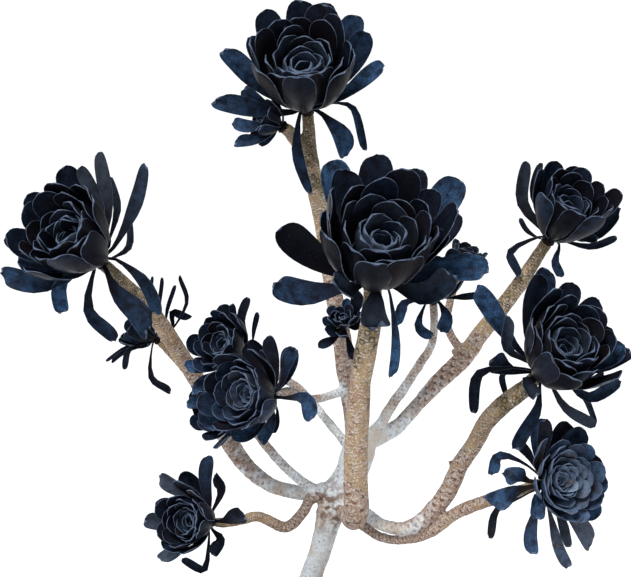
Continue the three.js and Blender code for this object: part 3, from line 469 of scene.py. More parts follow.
class Shade:
    """A node tree being wired up for one material."""

    def __init__(self, name: str) -> None:
        """Starts a material of that name with its shader and output."""
        self.material = bpy.data.materials.new(name)
        self.material.use_nodes = True
        self.tree = self.material.node_tree
        self.shader = self.tree.nodes["Principled BSDF"]

    def node(self, kind: str, **settings: object) -> bpy.types.Node:
        """Adds a node and sets its properties.

        Args:
            kind: Its type without the ShaderNode prefix.
            settings: Property values, or values of inputs when the name starts with in_.

        Returns:
            The node.
        """
        made = self.tree.nodes.new("ShaderNode" + kind)
        for key, value in settings.items():
            if key.startswith("in_"):
                made.inputs[key[3:].replace("_", " ")].default_value = value
            else:
                setattr(made, key, value)
        return made

    def link(self, out: bpy.types.NodeSocket, into: bpy.types.NodeSocket) -> None:
        """Wires one socket to another."""
        self.tree.links.new(out, into)

    def value(self, name: str) -> bpy.types.NodeSocket:
        """The number that the mesh stores under that name."""
        return self.node("Attribute", attribute_name=name).outputs["Fac"]

    def places(self) -> bpy.types.NodeSocket:
        """Object coordinates, in metres."""
        return self.node("TexCoord").outputs["Object"]

    def pattern(self) -> bpy.types.NodeSocket:
        """The piece's own pattern map."""
        return self.node("UVMap", uv_map="pattern").outputs["UV"]

    def split(self, places: bpy.types.NodeSocket) -> bpy.types.NodeOutputs:
        """The three numbers of a place, as outputs X, Y and Z."""
        made = self.node("SeparateXYZ")
        self.link(places, made.inputs["Vector"])
        return made.outputs

    def maths(self, operation: str, a: object, b: object = 0.0) -> bpy.types.NodeSocket:
        """The result of a calculation on sockets or plain numbers."""
        made = self.node("Math", operation=operation)
        for socket, given in zip(made.inputs, (a, b)):
            if isinstance(given, bpy.types.NodeSocket):
                self.link(given, socket)
            else:
                socket.default_value = given
        return made.outputs[0]

    def times(self, *factors: object) -> bpy.types.NodeSocket:
        """The product of two or more sockets or plain numbers, multiplied from the left."""
        product = factors[0]
        for factor in factors[1:]:
            product = self.maths("MULTIPLY", product, factor)
        return product

    def plus(self, a: object, b: object) -> bpy.types.NodeSocket:
        """The sum of two sockets or plain numbers."""
        return self.maths("ADD", a, b)

    def ramp(
        self, source: object, low: float, high: float, to_low: float = 0.0, to_high: float = 1.0
    ) -> bpy.types.NodeSocket:
        """A soft step: to_low where the source is under low, to_high where it is over high."""
        made = self.node("MapRange", interpolation_type="SMOOTHSTEP")
        self.link(source, made.inputs["Value"])
        limits = {"From Min": low, "From Max": high, "To Min": to_low, "To Max": to_high}
        for name, number in limits.items():
            made.inputs[name].default_value = number
        return made.outputs["Result"]

    def noise(self, size: float, detail: float = 3.0, rough: float = 0.55) -> bpy.types.NodeSocket:
        """Random patches of about `size` mm, from 0 to 1."""
        made = self.node("TexNoise", in_Scale=1.0 / (size * MM), in_Detail=detail, in_Roughness=rough)
        self.link(self.places(), made.inputs["Vector"])
        return made.outputs["Fac"]

    def streaks(self, places: bpy.types.NodeSocket, scale: Triple) -> bpy.types.NodeSocket:
        """Random streaks, from 0 to 1, on coordinates that are first multiplied by `scale`."""
        drawn = self.node("Mapping", in_Scale=scale)
        self.link(places, drawn.inputs["Vector"])
        made = self.node("TexNoise", in_Scale=1.0, in_Detail=2.0)
        self.link(drawn.outputs["Vector"], made.inputs["Vector"])
        return made.outputs["Fac"]

    def blend(self, share: object, first: object, second: object, way: str = "MIX") -> bpy.types.NodeSocket:
        """A mix of two colours, each a socket or a plain colour."""
        made = self.node("Mix", data_type="RGBA", blend_type=way)
        for socket, given in ((made.inputs[0], share), (made.inputs[6], first), (made.inputs[7], second)):
            if isinstance(given, bpy.types.NodeSocket):
                self.link(given, socket)
            elif isinstance(given, tuple):
                socket.default_value = (*given, 1.0)
            else:
                socket.default_value = given
        return made.outputs[2]

    def relief(self, height: object, depth: float, below: object = None) -> bpy.types.NodeSocket:
        """A bump of `depth` mm for height values from 0 to 1, on top of another bump."""
        made = self.node("Bump", in_Distance=depth * MM, in_Strength=1.0)
        self.link(height, made.inputs["Height"])
        if below is not None:
            self.link(below, made.inputs["Normal"])
        return made.outputs["Normal"]

    def finish(self, colour: object, rough: object, normal: object, **constant: float) -> bpy.types.Material:
        """Wires the results into the shader and sets its other sockets.

        Args:
            colour: The base colour's socket.
            rough: The roughness's socket.
            normal: The normal's socket.
            constant: Values of other inputs, underscores standing for spaces.

        Returns:
            The finished material.
        """
        self.link(colour, self.shader.inputs["Base Color"])
        self.link(rough, self.shader.inputs["Roughness"])
        self.link(normal, self.shader.inputs["Normal"])
        for name, given in constant.items():
            self.shader.inputs[name.replace("_", " ")].default_value = given
        return self.material


@dataclass(frozen=True)
class LeafSkin:
    """Satin, almost black leaf skin with a thin pale rim, a blue on some leaves that is partly wax and
    partly painted sheen of the sky, pale dust on the youngest, and tan spots where a leaf is both
    brown and dusty. Sizes are in mm."""

    night: Colour = (0.0034, 0.0033, 0.0054)
    plum: Colour = (0.0074, 0.0060, 0.0082)
    brown: Colour = (0.030, 0.018, 0.010)
    tan: Colour = (0.300, 0.190, 0.105)
    # Blue of the wax, which also serves as the painted sheen of the sky.
    bloom_and_sheen: Colour = (0.046, 0.108, 0.225)
    powder: Colour = (0.400, 0.490, 0.640)
    rim: Colour = (0.104, 0.134, 0.200)
    patch_size: float = 22.0
    spot_size: float = 13.0
    cloud_size: float = 9.0
    speck_size: float = 2.4
    grain_size: float = 1.1
    vein_scale: Triple = (26.0, 1.6, 1.0)
    grain_depth: float = 0.05
    vein_depth: float = 0.25

    def material(self) -> bpy.types.Material:
        """Builds the finish.

        Returns:
            The material, which reads the leaf's own values edge, way, tone, powder and brown, its
            value for the blue of wax and painted sheen, and its pattern map, across in x and along in y.
        """
        s = Shade("leaf_skin")
        way = s.value("way")
        brown = s.value("brown")
        powder = s.value("powder")
        patches = s.noise(self.patch_size)
        cloudy = s.noise(self.cloud_size, 4.0)
        fine = s.noise(self.grain_size, 2.0)
        veins = s.streaks(s.pattern(), self.vein_scale)
        base = s.blend(s.ramp(s.value("tone"), 0.3, 0.9), self.night, self.plum)
        base = s.blend(s.times(brown, s.ramp(patches, 0.35, 0.7)), base, self.brown)
        # Blue, stronger towards the tip: partly wax, partly painted sheen of the sky.
        wax_and_sheen = s.times(s.value("bloom_and_sheen"), s.ramp(cloudy, 0.3, 0.66, 0.18, 1.05))
        wax_and_sheen = s.times(wax_and_sheen, s.ramp(way, 0.3, 0.92, 0.04, 1.0))
        grain = s.times(s.ramp(fine, 0.35, 0.7, 0.55, 1.25), s.ramp(veins, 0.3, 0.7, 0.7, 1.1))
        colour = s.blend(s.times(wax_and_sheen, grain), base, self.bloom_and_sheen)
        dusty = s.maths("POWER", powder, 2.1)
        dusty = s.times(dusty, s.ramp(cloudy, 0.25, 0.68, 0.45, 1.0), s.ramp(way, 0.3, 1.0, 0.2, 1.0))
        colour = s.blend(dusty, colour, self.powder)
        spotted = s.times(brown, s.ramp(s.noise(self.spot_size, 2.0), 0.62, 0.7, 0.0, 1.2), powder)
        colour = s.blend(spotted, colour, self.tan)
        specks = s.ramp(s.noise(self.speck_size, 0.0), 0.76, 0.8, 0.0, 0.1)
        colour = s.blend(specks, colour, self.rim)
        worn = s.ramp(s.noise(self.cloud_size, 2.0), 0.3, 0.65, 0.35, 1.0)
        rim = s.times(s.ramp(s.value("edge"), 0.02, 0.38, 0.95, 0.0), worn)
        colour = s.blend(rim, colour, self.rim)
        rough = s.plus(s.ramp(patches, 0.2, 0.8, 0.30, 0.42), s.times(rim, 0.2))
        normal = s.relief(veins, self.vein_depth, s.relief(fine, self.grain_depth))
        return s.finish(colour, rough, normal, IOR=1.40, Specular_IOR_Level=0.045)


@dataclass(frozen=True)
class Bark:
    """Dry succulent bark: olive-tan with dark-ringed leaf scars near the leaves, then pinkish tan
    with rust patches and brown dashes, and whitish grey with bluish specks and tan stains on the
    oldest wood. Sizes are in mm."""

    young: Colour = (0.165, 0.122, 0.058)
    tan: Colour = (0.375, 0.258, 0.140)
    middle: Colour = (0.340, 0.240, 0.188)
    rust: Colour = (0.280, 0.155, 0.100)
    old: Colour = (0.700, 0.740, 0.765)
    stain: Colour = (0.520, 0.400, 0.290)
    dash: Colour = (0.120, 0.050, 0.026)
    ring: Colour = (0.040, 0.022, 0.011)
    # Chalky grains and scar edges; also the painted highlight on the folds' crests.
    chalk_and_highlight: Colour = (0.700, 0.640, 0.580)
    speck: Colour = (0.110, 0.190, 0.360)
    # Grain; also the painted shade in the folds' dips.
    grain: Colour = (0.300, 0.220, 0.160)
    patch_size: float = 16.0
    rust_size: float = 26.0
    stain_size: float = 30.0
    knot_size: float = 7.0
    speck_size: float = 3.4
    fine_size: float = 2.2
    chalk_size: float = 1.7
    fold_bend_size: float = 9.0
    fold_break_size: float = 7.0
    scar_drift_size: float = 4.0
    scar_break_size: float = 8.0
    scar_depth: float = 0.22
    fold_depth: float = 0.4
    fine_depth: float = 0.45

    def material(self) -> bpy.types.Material:
        """Builds the finish.

        Returns:
            The material, which reads the wood's own values age and knot and its pattern map, in
            which whole steps lead from one leaf scar to the next.
        """
        s = Shade("bark")
        steps = s.split(s.pattern())
        x, y = steps["X"], steps["Y"]
        patches = s.noise(self.patch_size, 4.0)
        fine = s.noise(self.fine_size, 4.0)
        age = s.plus(s.value("age"), s.ramp(patches, 0.2, 0.8, -0.14, 0.14))
        early = s.ramp(age, 0.2, 0.36)
        late = s.ramp(age, 0.62, 0.8)
        colour = s.blend(early, self.young, self.tan)
        colour = s.blend(s.ramp(age, 0.38, 0.52), colour, self.middle)
        rusty = s.times(s.ramp(s.noise(self.rust_size, 5.0), 0.46, 0.66, 0.0, 0.7), early)
        colour = s.blend(late, s.blend(rusty, colour, self.rust), self.old)
        colour = s.blend(s.ramp(fine, 0.35, 0.75, 0.0, 0.45), colour, self.grain, "MULTIPLY")
        # The folds' crests and dips are painted lighter and darker: painted highlight and shade.
        colour, folds = self.wrinkled(s, colour, x, y, s.ramp(age, 0.3, 0.95, 1.0, 0.25))
        colour, scars = self.scarred(s, colour, x, y, age)
        dry = s.times(s.maths("SUBTRACT", 1.0, late), s.ramp(age, 0.14, 0.42, 0.04, 1.0))
        grains = s.times(dry, s.ramp(s.noise(self.chalk_size, 1.0), 0.56, 0.66, 0.0, 0.5))
        colour = s.blend(grains, colour, self.chalk_and_highlight)
        specks = s.times(late, s.ramp(s.noise(self.speck_size, 1.0), 0.66, 0.71, 0.0, 0.8))
        colour = s.blend(specks, colour, self.speck)
        stained = s.times(late, s.ramp(s.noise(self.stain_size, 5.0), 0.44, 0.64, 0.0, 0.7))
        colour = s.blend(stained, colour, self.stain)
        knotty = s.maths("MINIMUM", s.times(s.value("knot"), 1.6), 1.0)
        knotty = s.times(knotty, s.ramp(s.noise(self.knot_size, 4.0), 0.42, 0.6))
        colour = s.blend(knotty, colour, self.dash)
        normal = s.relief(folds, self.fold_depth, s.relief(scars, self.scar_depth))
        normal = s.relief(fine, self.fine_depth, normal)
        return s.finish(colour, s.ramp(fine, 0.2, 0.8, 0.62, 0.85), normal, IOR=1.42)

    def wrinkled(self, s: Shade, colour: object, x: object, y: object, share: object) -> tuple:
        """Adds the fine folds round the stem: waves over two steps one way and three the other,
        which run almost square to the stem and join up round it, broken by noise. A pale highlight
        is painted on their crests and dark shade in their dips.

        Args:
            s: The material being made.
            colour: The bark's colour so far.
            x: Steps one way in the pattern of the scars.
            y: Steps the other way.
            share: How strong the folds and their painted highlight and shade are.

        Returns:
            The colour with the painted highlight and shade of the folds, and their height.
        """
        turns = s.plus(s.times(x, 2.0), s.times(y, 3.0))
        bent = s.plus(turns, s.times(s.noise(self.fold_bend_size), 3.4))
        wave = s.maths("SINE", s.times(bent, 2 * math.pi))
        wave = s.times(wave, s.ramp(s.noise(self.fold_break_size, 2.0), 0.4, 0.62))
        # Painted highlight on the crests, painted shade in the dips.
        painted_crest_highlight = s.times(share, s.ramp(wave, 0.2, 0.9, 0.0, 0.5))
        painted_dip_shade = s.times(share, s.ramp(wave, -0.9, -0.2, 0.5, 0.0))
        colour = s.blend(painted_crest_highlight, colour, self.chalk_and_highlight)
        return s.blend(painted_dip_shade, colour, self.grain), s.times(wave, share)

    def scarred(self, s: Shade, colour: object, x: object, y: object, age: object) -> tuple:
        """Draws one leaf scar in every cell of the pattern: a dark oval ring with a paler inside on
        young bark, a brown dash with a chalky edge above it on older bark.

        Args:
            s: The material being made.
            colour: The bark's colour so far.
            x: Steps one way in the pattern of the scars.
            y: Steps the other way.
            age: The bark's age; the rings turn into dashes with it, and these fade.

        Returns:
            The colour with the scars, and their height.
        """
        cell_x = s.maths("SUBTRACT", s.maths("FRACT", x), 0.5)
        cell_y = s.maths("SUBTRACT", s.maths("FRACT", y), 0.5)
        # The two lattice directions are turned back to round and along the stem.
        around = s.plus(s.times(cell_x, -0.7), s.times(cell_y, 0.43))
        along = s.plus(s.times(cell_x, 0.6), s.times(cell_y, 0.95))
        drift = s.noise(self.scar_drift_size, 1.0)
        along = s.plus(along, s.ramp(drift, 0.25, 0.75, -0.07, 0.07))
        across = s.times(around, around)
        tall = s.maths("POWER", s.times(along, 1.45), 2.0)
        far = s.maths("SQRT", s.plus(across, tall))
        young = s.ramp(age, 0.22, 0.4, 1.0, 0.0)
        line = s.times(s.ramp(far, 0.18, 0.28), s.ramp(far, 0.36, 0.48, 1.0, 0.0))
        ring = s.times(line, s.ramp(along, -0.2, 0.15, 0.65, 1.0), young)
        inside = s.times(s.ramp(far, 0.14, 0.26, 0.3, 0.0), young)
        bent = s.maths("SUBTRACT", along, s.times(across, 1.2))
        wide = s.ramp(s.maths("ABSOLUTE", around), 0.3, 0.46, 1.0, 0.0)
        narrow = s.ramp(s.maths("ABSOLUTE", s.plus(bent, 0.1)), 0.07, 0.22, 1.0, 0.0)
        edge = s.ramp(s.maths("ABSOLUTE", s.maths("SUBTRACT", bent, 0.15)), 0.04, 0.2, 1.0, 0.0)
        shown = s.times(s.ramp(age, 0.38, 0.52), s.ramp(age, 0.6, 0.95, 1.0, 0.12))
        broken = s.times(s.ramp(s.noise(self.scar_break_size, 1.0), 0.28, 0.46), shown)
        dash = s.times(s.times(wide, narrow), s.times(broken, 0.95))
        chalky = s.times(s.times(wide, edge), s.times(broken, 0.35))
        colour = s.blend(inside, colour, self.tan)
        colour = s.blend(ring, colour, self.ring)
        colour = s.blend(chalky, colour, self.chalk_and_highlight)
        height = s.maths("SUBTRACT", s.plus(chalky, inside), s.plus(dash, ring))
        return s.blend(dash, colour, self.dash), height


@dataclass(frozen=True)
class Clay:
    """Unglazed fired clay with fine throwing lines, lime crust mostly near the foot, and dark pits.
    Sizes are in mm."""

    body: Colour = (0.46, 0.185, 0.095)
    pale: Colour = (0.60, 0.33, 0.21)
    lime: Colour = (0.68, 0.60, 0.52)
    damp: Colour = (0.20, 0.085, 0.05)
    patch_size: float = 70.0
    lime_size: float = 26.0
    pit_size: float = 1.6
    line_scale: Triple = (6.0, 6.0, 620.0)
    lime_height: float = 75.0
    pit_depth: float = 0.22
    line_depth: float = 0.5

    def material(self) -> bpy.types.Material:
        """Builds the finish."""
        s = Shade("fired_clay")
        height = s.split(s.places())["Z"]
        lines = s.streaks(s.places(), self.line_scale)
        patches = s.noise(self.patch_size, 4.0)
        pits = s.noise(self.pit_size)
        colour = s.blend(s.ramp(patches, 0.3, 0.7, 0.0, 0.7), self.body, self.pale)
        colour = s.blend(s.ramp(lines, 0.35, 0.7, 0.0, 0.22), colour, self.damp)
        low = s.ramp(height, 0.0, self.lime_height * MM, 1.0, 0.0)
        crust = s.times(s.ramp(s.noise(self.lime_size, 6.0), 0.42, 0.74), s.plus(s.times(low, 0.35), 0.14))
        colour = s.blend(crust, colour, self.lime)
        colour = s.blend(s.ramp(pits, 0.62, 0.72, 0.0, 0.35), colour, self.damp)
        normal = s.relief(pits, self.pit_depth, s.relief(lines, self.line_depth))
        return s.finish(colour, s.ramp(patches, 0.2, 0.8, 0.72, 0.88), normal, IOR=1.45)


@dataclass(frozen=True)
class Loam:
    """Dark potting mix: brown crumbs with paler fibres. Sizes are in mm."""

    dark: Colour = (0.022, 0.014, 0.009)
    light: Colour = (0.085, 0.055, 0.034)
    fibre: Colour = (0.17, 0.13, 0.09)
    crumb_size: float = 5.0
    fibre_size: float = 1.3
    crumb_depth: float = 3.0
    fibre_depth: float = 0.8

    def material(self) -> bpy.types.Material:
        """Builds the finish."""
        s = Shade("potting_mix")
        crumbs = s.noise(self.crumb_size, 6.0, rough=0.7)
        fine = s.noise(self.fibre_size)
        colour = s.blend(s.ramp(crumbs, 0.35, 0.68), self.dark, self.light)
        colour = s.blend(s.ramp(fine, 0.66, 0.74, 0.0, 0.6), colour, self.fibre)
        normal = s.relief(fine, self.fibre_depth, s.relief(crumbs, self.crumb_depth))
        return s.finish(colour, s.ramp(fine, 0.2, 0.8, 0.82, 0.98), normal, IOR=1.4)


@dataclass(frozen=True)
class Grit:
    """Small stones and pumice in the soil, each with its own tone. Sizes are in mm."""

    dark: Colour = (0.11, 0.10, 0.095)
    pale: Colour = (0.42, 0.39, 0.34)
    dirt: Colour = (0.16, 0.10, 0.06)
    grain_size: float = 1.0
    grain_depth: float = 0.4

    def material(self) -> bpy.types.Material:
        """Builds the finish, which reads each stone's own value tone."""
        s = Shade("soil_grit")
        fine = s.noise(self.grain_size)
        colour = s.blend(s.ramp(s.value("tone"), 0.1, 0.9), self.dark, self.pale)
        colour = s.blend(s.ramp(fine, 0.4, 0.7, 0.0, 0.4), colour, self.dirt)
        normal = s.relief(fine, self.grain_depth)
        return s.finish(colour, s.ramp(fine, 0.2, 0.8, 0.7, 0.95), normal, IOR=1.45)


@dataclass(frozen=True)
class Backdrop:
    """A plain white studio floor."""

    white: Colour = (0.93, 0.93, 0.93)

    def material(self) -> bpy.types.Material:
        """Builds the finish."""
        s = Shade("studio_floor")
        s.shader.inputs["Base Color"].default_value = (*self.white, 1.0)
        s.link(s.ramp(s.noise(40.0, 1.0), 0.0, 1.0, 0.85, 0.9), s.shader.inputs["Roughness"])
        s.link(s.relief(s.noise(50.0, 1.0), 0.01), s.shader.inputs["Normal"])
        return s.material


# ------------------------------------------------------------------------------- leaves


class Habit(Enum):
    """How a leaf gets its place: from the golden-angle spiral, or singly from the photograph."""

    SPIRAL = "spiral"
    STRAY = "single"


# Places along a leaf at which its section is worked out, close together near the rounded end.
STATIONS = np.array([0, 0.08, 0.18, 0.3, 0.42, 0.54, 0.65, 0.74, 0.81, 0.87, 0.92, 0.96, 0.985, 1.0])
# Places across it: the upper face from rim to rim, then the lower face back.
UPPER = np.array([-1, -0.9, -0.55, 0, 0.55, 0.9, 1])
ACROSS = np.concatenate([UPPER, UPPER[::-1]])
UNDERSIDE = np.repeat([False, True], len(UPPER))

# A leaf's outline, as shares of its length and of its full width.
FOOT_WIDTH = 0.2
WIDEST_AT = 0.82
CLOSES_FROM = 0.8
CLOSES_OVER = 0.204  # a little more than the rest, so that the tip keeps some width
# Its section, in mm or as shares of its full width.
RIM_THICKNESS = 0.62
RIM_PER_WIDTH = 0.003
FLESH = 0.085
LEAST_FLESH = 1.5
KEEL_DEPTH = 0.018
# Where a withered leaf starts to curl and fray, as a share of its length, and how much it does.
FRAYS_FROM = 0.7
CURL = 0.42
RIM_WAVES = 0.14
SWAY = 0.16
# Extent in mm of the rounded point past the last station, and the room in the pattern map, in
# which every leaf has a place of its own.
TIP = 0.8
PATTERN_STEP = 3.0


@dataclass
class Blades:
    """Leaves of one rosette, one row of every array per leaf.

    `spine` holds the stations' places in mm, shape (leaves, stations, 3), `face` the way that each
    upper face looks, `width` the full width in mm, `roll` the degrees by which it rolls up to the
    tip, `cup` how deep it is for its width, `wither` how narrow and crumpled it is, and `tone`,
    `powder` and `brown` its values for the finish, with one more for its blue, which is partly
    wax and partly painted sheen.
    """

    spine: np.ndarray
    face: np.ndarray
    width: np.ndarray
    roll: np.ndarray
    cup: np.ndarray
    wither: np.ndarray
    tone: np.ndarray
    bloom_and_sheen: np.ndarray
    powder: np.ndarray
    brown: np.ndarray

    def outline(self) -> tuple[np.ndarray, np.ndarray]:
        """How the leaves widen and close again.

        With g the sine, to the power 2 + 4 wither^2, of the way to the widest place as a quarter
        turn, and x the way through the closing end, the width is a fifth at the foot, 0.2 + 0.8 g
        along the leaf, and times the arc (1 - x^b)^(1/b) in the end, where b is larger, and the end
        blunter, on a withered leaf.

        Returns:
            The growth g and the width as a share of the full one, each of shape (leaves, stations).
        """
        wither = self.wither[:, None]
        grow = np.sin(np.pi / 2 * np.clip(STATIONS / WIDEST_AT, 0, 1)) ** (2 + 4 * wither**2)
        blunt = 2.5 + 1.6 * wither
        arc = (1 - np.clip((STATIONS - CLOSES_FROM) / CLOSES_OVER, 0, 1) ** blunt) ** (1 / blunt)
        return grow, mix(FOOT_WIDTH, 1.0, grow) * arc

    def frames(self) -> tuple[np.ndarray, np.ndarray, np.ndarray]:
        """The leaves' own directions at each station: along the spine, across the leaf, and out of
        its upper face, which is carried along and rolls by roll * u^1.3 at u of the length."""
        along = unit(np.gradient(self.spine, axis=1))
        face = carried(self.face, along)
        turn = np.radians(self.roll)[:, None, None] * STATIONS[None, :, None] ** 1.3
        upper = face * np.cos(turn) - np.cross(along, face) * np.sin(turn)
        return along, np.cross(along, upper), upper

    def corners(self) -> tuple[np.ndarray, np.ndarray]:
        """Works out every corner of every leaf.

        At u of the length and v from -1 to 1 between the rims, a corner stands off the spine:
        - across, by v times half the width there, drawn in a little where the leaf is cupped, and by
          the slow sway of a withered leaf, wither^2 u sin(8 u + phase);
        - upwards, by the cup, which rises with |v|^1.8, by the waves of withered rims, by the curl of
          a withered end, and by half the flesh, which thins with |v|^2.2; the keel runs below;
        - back along the spine, by the notches and the slant of a withered end.

        Returns:
            Corner places, shape (leaves, stations, corners in a section, 3), and the distance of
            each to the nearest rim.
        """
        along, across, upper = self.frames()
        grow, share = self.outline()
        u = STATIONS[None, :, None]
        v = ACROSS[None, None, :]
        w = self.width[:, None, None]
        cup = self.cup[:, None, None]
        wither = self.wither[:, None, None]
        phase = self.tone[:, None, None] * 6.28
        half = share[:, :, None] * w / 2
        rim = RIM_THICKNESS + RIM_PER_WIDTH * w
        middle = np.maximum(FLESH * w, LEAST_FLESH) * mix(1.6, 0.6, u)
        thick = rim + (middle - rim) * (1 - np.abs(v) ** 2.2)
        rise = cup * half * 2 * np.abs(v) ** 1.8 * mix(0.5, 1.0, grow)[:, :, None]
        waves = np.sin(u * 14 + phase + 1.4 * np.sign(v)) * np.abs(v) ** 2
        rise = rise + wither * RIM_WAVES * half * waves
        keel = -KEEL_DEPTH * w * np.exp(-((v / 0.2) ** 2)) * (1 - 0.6 * u)
        ending = np.clip((u - FRAYS_FROM) / (1 - FRAYS_FROM), 0, 1) ** 2 * wither * w
        curl = CURL * np.sin(phase * 5 + 1.0) * ending * (0.6 + 0.4 * v * np.cos(phase))
        height = rise + keel + curl + np.where(UNDERSIDE, -thick / 2, thick / 2)
        fold = 1 - 0.35 * (cup * np.abs(v)) ** 1.5
        sway = SWAY * w * wither**2 * np.sin(u * 8 + phase) * u
        notch = (0.13 * np.cos(v * 4.2 + phase) + 0.17 * v * np.sin(phase * 7)) * ending
        points = self.spine[:, :, None, :] + across[:, :, None, :] * (v * half * fold)[..., None]
        points = points + upper[:, :, None, :] * height[..., None]
        points = points + across[:, :, None, :] * sway[..., None]
        points = points - along[:, :, None, :] * notch[..., None]
        length = np.linalg.norm(np.diff(self.spine, axis=1), axis=2).sum(axis=1)
        edge = np.minimum((1 - np.abs(v)) * half, (1 - u) * length[:, None, None])
        return points, edge

    def skin(self) -> Skin:
        """The leaves' closed surfaces with their values for the finish."""
        points, edge = self.corners()
        count, rings, sides, _ = points.shape
        foot = self.spine[:, 0]
        tip = self.spine[:, -1] + unit(self.spine[:, -1] - self.spine[:, -2]) * TIP
        tip = tip + (points[:, -1].mean(axis=1) - self.spine[:, -1])
        side = np.arange(sides)
        base = (np.arange(count) * rings * sides)[:, None]
        top = base + (rings - 1) * sides
        pole = (count * rings * sides + np.arange(count))[:, None] + np.zeros(sides, dtype=int)
        start = np.stack([base + (side + 1) % sides, base + side, pole], axis=-1)
        end = np.stack([top + side, top + (side + 1) % sides, pole + count], axis=-1)
        tris = np.concatenate([start.reshape(-1, 3), end.reshape(-1, 3)])
        quads = ring_faces(count, rings, sides)
        way = np.broadcast_to(STATIONS[None, :, None], (count, rings, sides)).ravel()
        cross = np.broadcast_to((ACROSS + 1) / 2, (count, rings, sides)).ravel()
        room = np.arange(count) * PATTERN_STEP
        grid_uv = np.stack([cross + np.repeat(room, rings * sides), way], axis=1)
        foot_uv = np.stack([room + 0.5, np.zeros(count)], axis=1)
        uv = np.concatenate([grid_uv, foot_uv, foot_uv + [0.0, 1.0]])
        values = {
            "edge": np.concatenate([edge.ravel(), np.full(count, 5.0), np.zeros(count)]),
            "way": np.concatenate([way, np.zeros(count), np.ones(count)]),
        }
        for name in ("tone", "bloom_and_sheen", "powder", "brown"):
            value = getattr(self, name)
            values[name] = np.concatenate([np.repeat(value, rings * sides), value, value])
        places = np.concatenate([points.reshape(-1, 3), foot, tip])
        return Skin(places, quads, tris, uv[quads], uv[tris], values)


def gathered(leaves: list[Blades]) -> Blades:
    """Several sets of leaves as one."""
    names = [entry.name for entry in fields(Blades)]
    return Blades(*(np.concatenate([getattr(leaf, name) for leaf in leaves]) for name in names))


@dataclass
class Old:
    """A stray leaf: three points that it passes, counted from the rosette's base in mm, the tip
    last, with its width, twice the degrees that it rolls up to its tip, how blue it is, partly
    from wax and partly from painted sheen, how narrow and crumpled it has become and how much pale
    dust it shows. Its face is turned by the share `facing` from the rosette's axis towards the
    viewer."""

    path: list[Triple]
    width: float
    roll: float
    bloom_and_sheen: float = 0.12
    wither: float = 0.8
    powder: float = 0.0
    facing: float = 0.65

    def passed(self, axis: np.ndarray) -> np.ndarray:
        """The three points, counted from the base, whichever way the rosette looks."""
        return np.array(self.path, dtype=float)


@dataclass
class Seen:
    """A leaf placed by its tip as the photograph shows it: so many mm to the right, up and nearer
    than the rosette's base. Its middle stands `belly` mm further out than the straight way to the
    tip, and its face is turned by the share `facing` from the rosette's axis towards the viewer."""

    right: float
    up: float
    near: float
    belly: float
    width: float
    facing: float = 0.0
    roll: float = 0.0
    # How blue the leaf is: partly wax, partly painted sheen of the sky.
    bloom_and_sheen: float = 0.1
    wither: float = 0.22
    powder: float = 0.0

    def passed(self, axis: np.ndarray) -> np.ndarray:
        """Three points that the leaf passes, counted from the base: with s from 0 to 1 along it,
        s times the tip plus 4 s (1 - s) times the belly, which points away from the axis."""
        tip = self.right * VIEW_RIGHT + self.up * VIEW_UP + self.near * VIEW_NEAR
        away = -square_to(axis, unit(tip))
        s = np.array([0.33, 0.67, 1.0])[:, None]
        return tip * s + away * self.belly * 4 * s * (1 - s)


class Thicket:
    """What has grown so far, so that a new leaf can be bent clear of it."""

    def __init__(self) -> None:
        """Starts empty."""
        self.trees: list[tuple[str, BVHTree]] = []

    def add(self, owner: str, points: np.ndarray, quads: np.ndarray) -> None:
        """Notes a grown surface and whose it is."""
        self.trees.append((owner, BVHTree.FromPolygons(points.tolist(), quads.tolist())))

    def crosses(self, owner: str, points: np.ndarray, quads: np.ndarray) -> bool:
        """Whether a surface cuts through anything that another owner has grown."""
        tree = BVHTree.FromPolygons(points.tolist(), quads.tolist())
        return any(tree.overlap(other) for name, other in self.trees if name != owner)


def ways_to_turn() -> list[Triple]:
    """Ways in which a spiral leaf gives way when it would cross something, the slightest first:
    degrees round the rosette, degrees of tilt and share of its length."""
    ways = [(0, 0, 1.0)]
    for turn in (7, 14, 22, 32):
        ways += [(turn, 0, 1.0), (-turn, 0, 1.0), (0, -turn, 1.0)]
        ways += [(turn, -turn, 0.95), (-turn, -turn, 0.95)]
        ways += [(0, 0.6 * turn, 1.0), (0, 0, 1 - turn / 90)]
    return ways


def ways_to_move() -> list[Triple]:
    """The same for a single leaf: how far its tip is pushed, in mm."""
    ways = [(0, 0, 0)]
    for push in (5, 10, 16, 24):
        ways += [(0, -push, 0), (0, push, 0), (0, 0, -push), (0, 0, push)]
        ways += [(-push, 0, 0), (push, 0, 0), (-push, -push, 0), (push, -push, 0)]
    return ways


# The two lowest stations stand among the other leaves' feet, so only the rest has to be clear.
CLEAR_FROM = 2
CLEAR_QUADS = ring_faces(1, len(STATIONS) - CLEAR_FROM, len(ACROSS))

# How much spiral leaves differ by chance: full spreads in degrees round the axis, of tilt, of bow
# and of roll, and the least and the most share of the usual length, width and cup.
TURN_SPREAD = 14
TILT_SPREAD = 8
BOW_SPREAD = 14
ROLL_SPREAD = 26
LENGTHS = (0.93, 1.08)
WIDTHS = (0.92, 1.08)
CUPS = (0.8, 1.2)


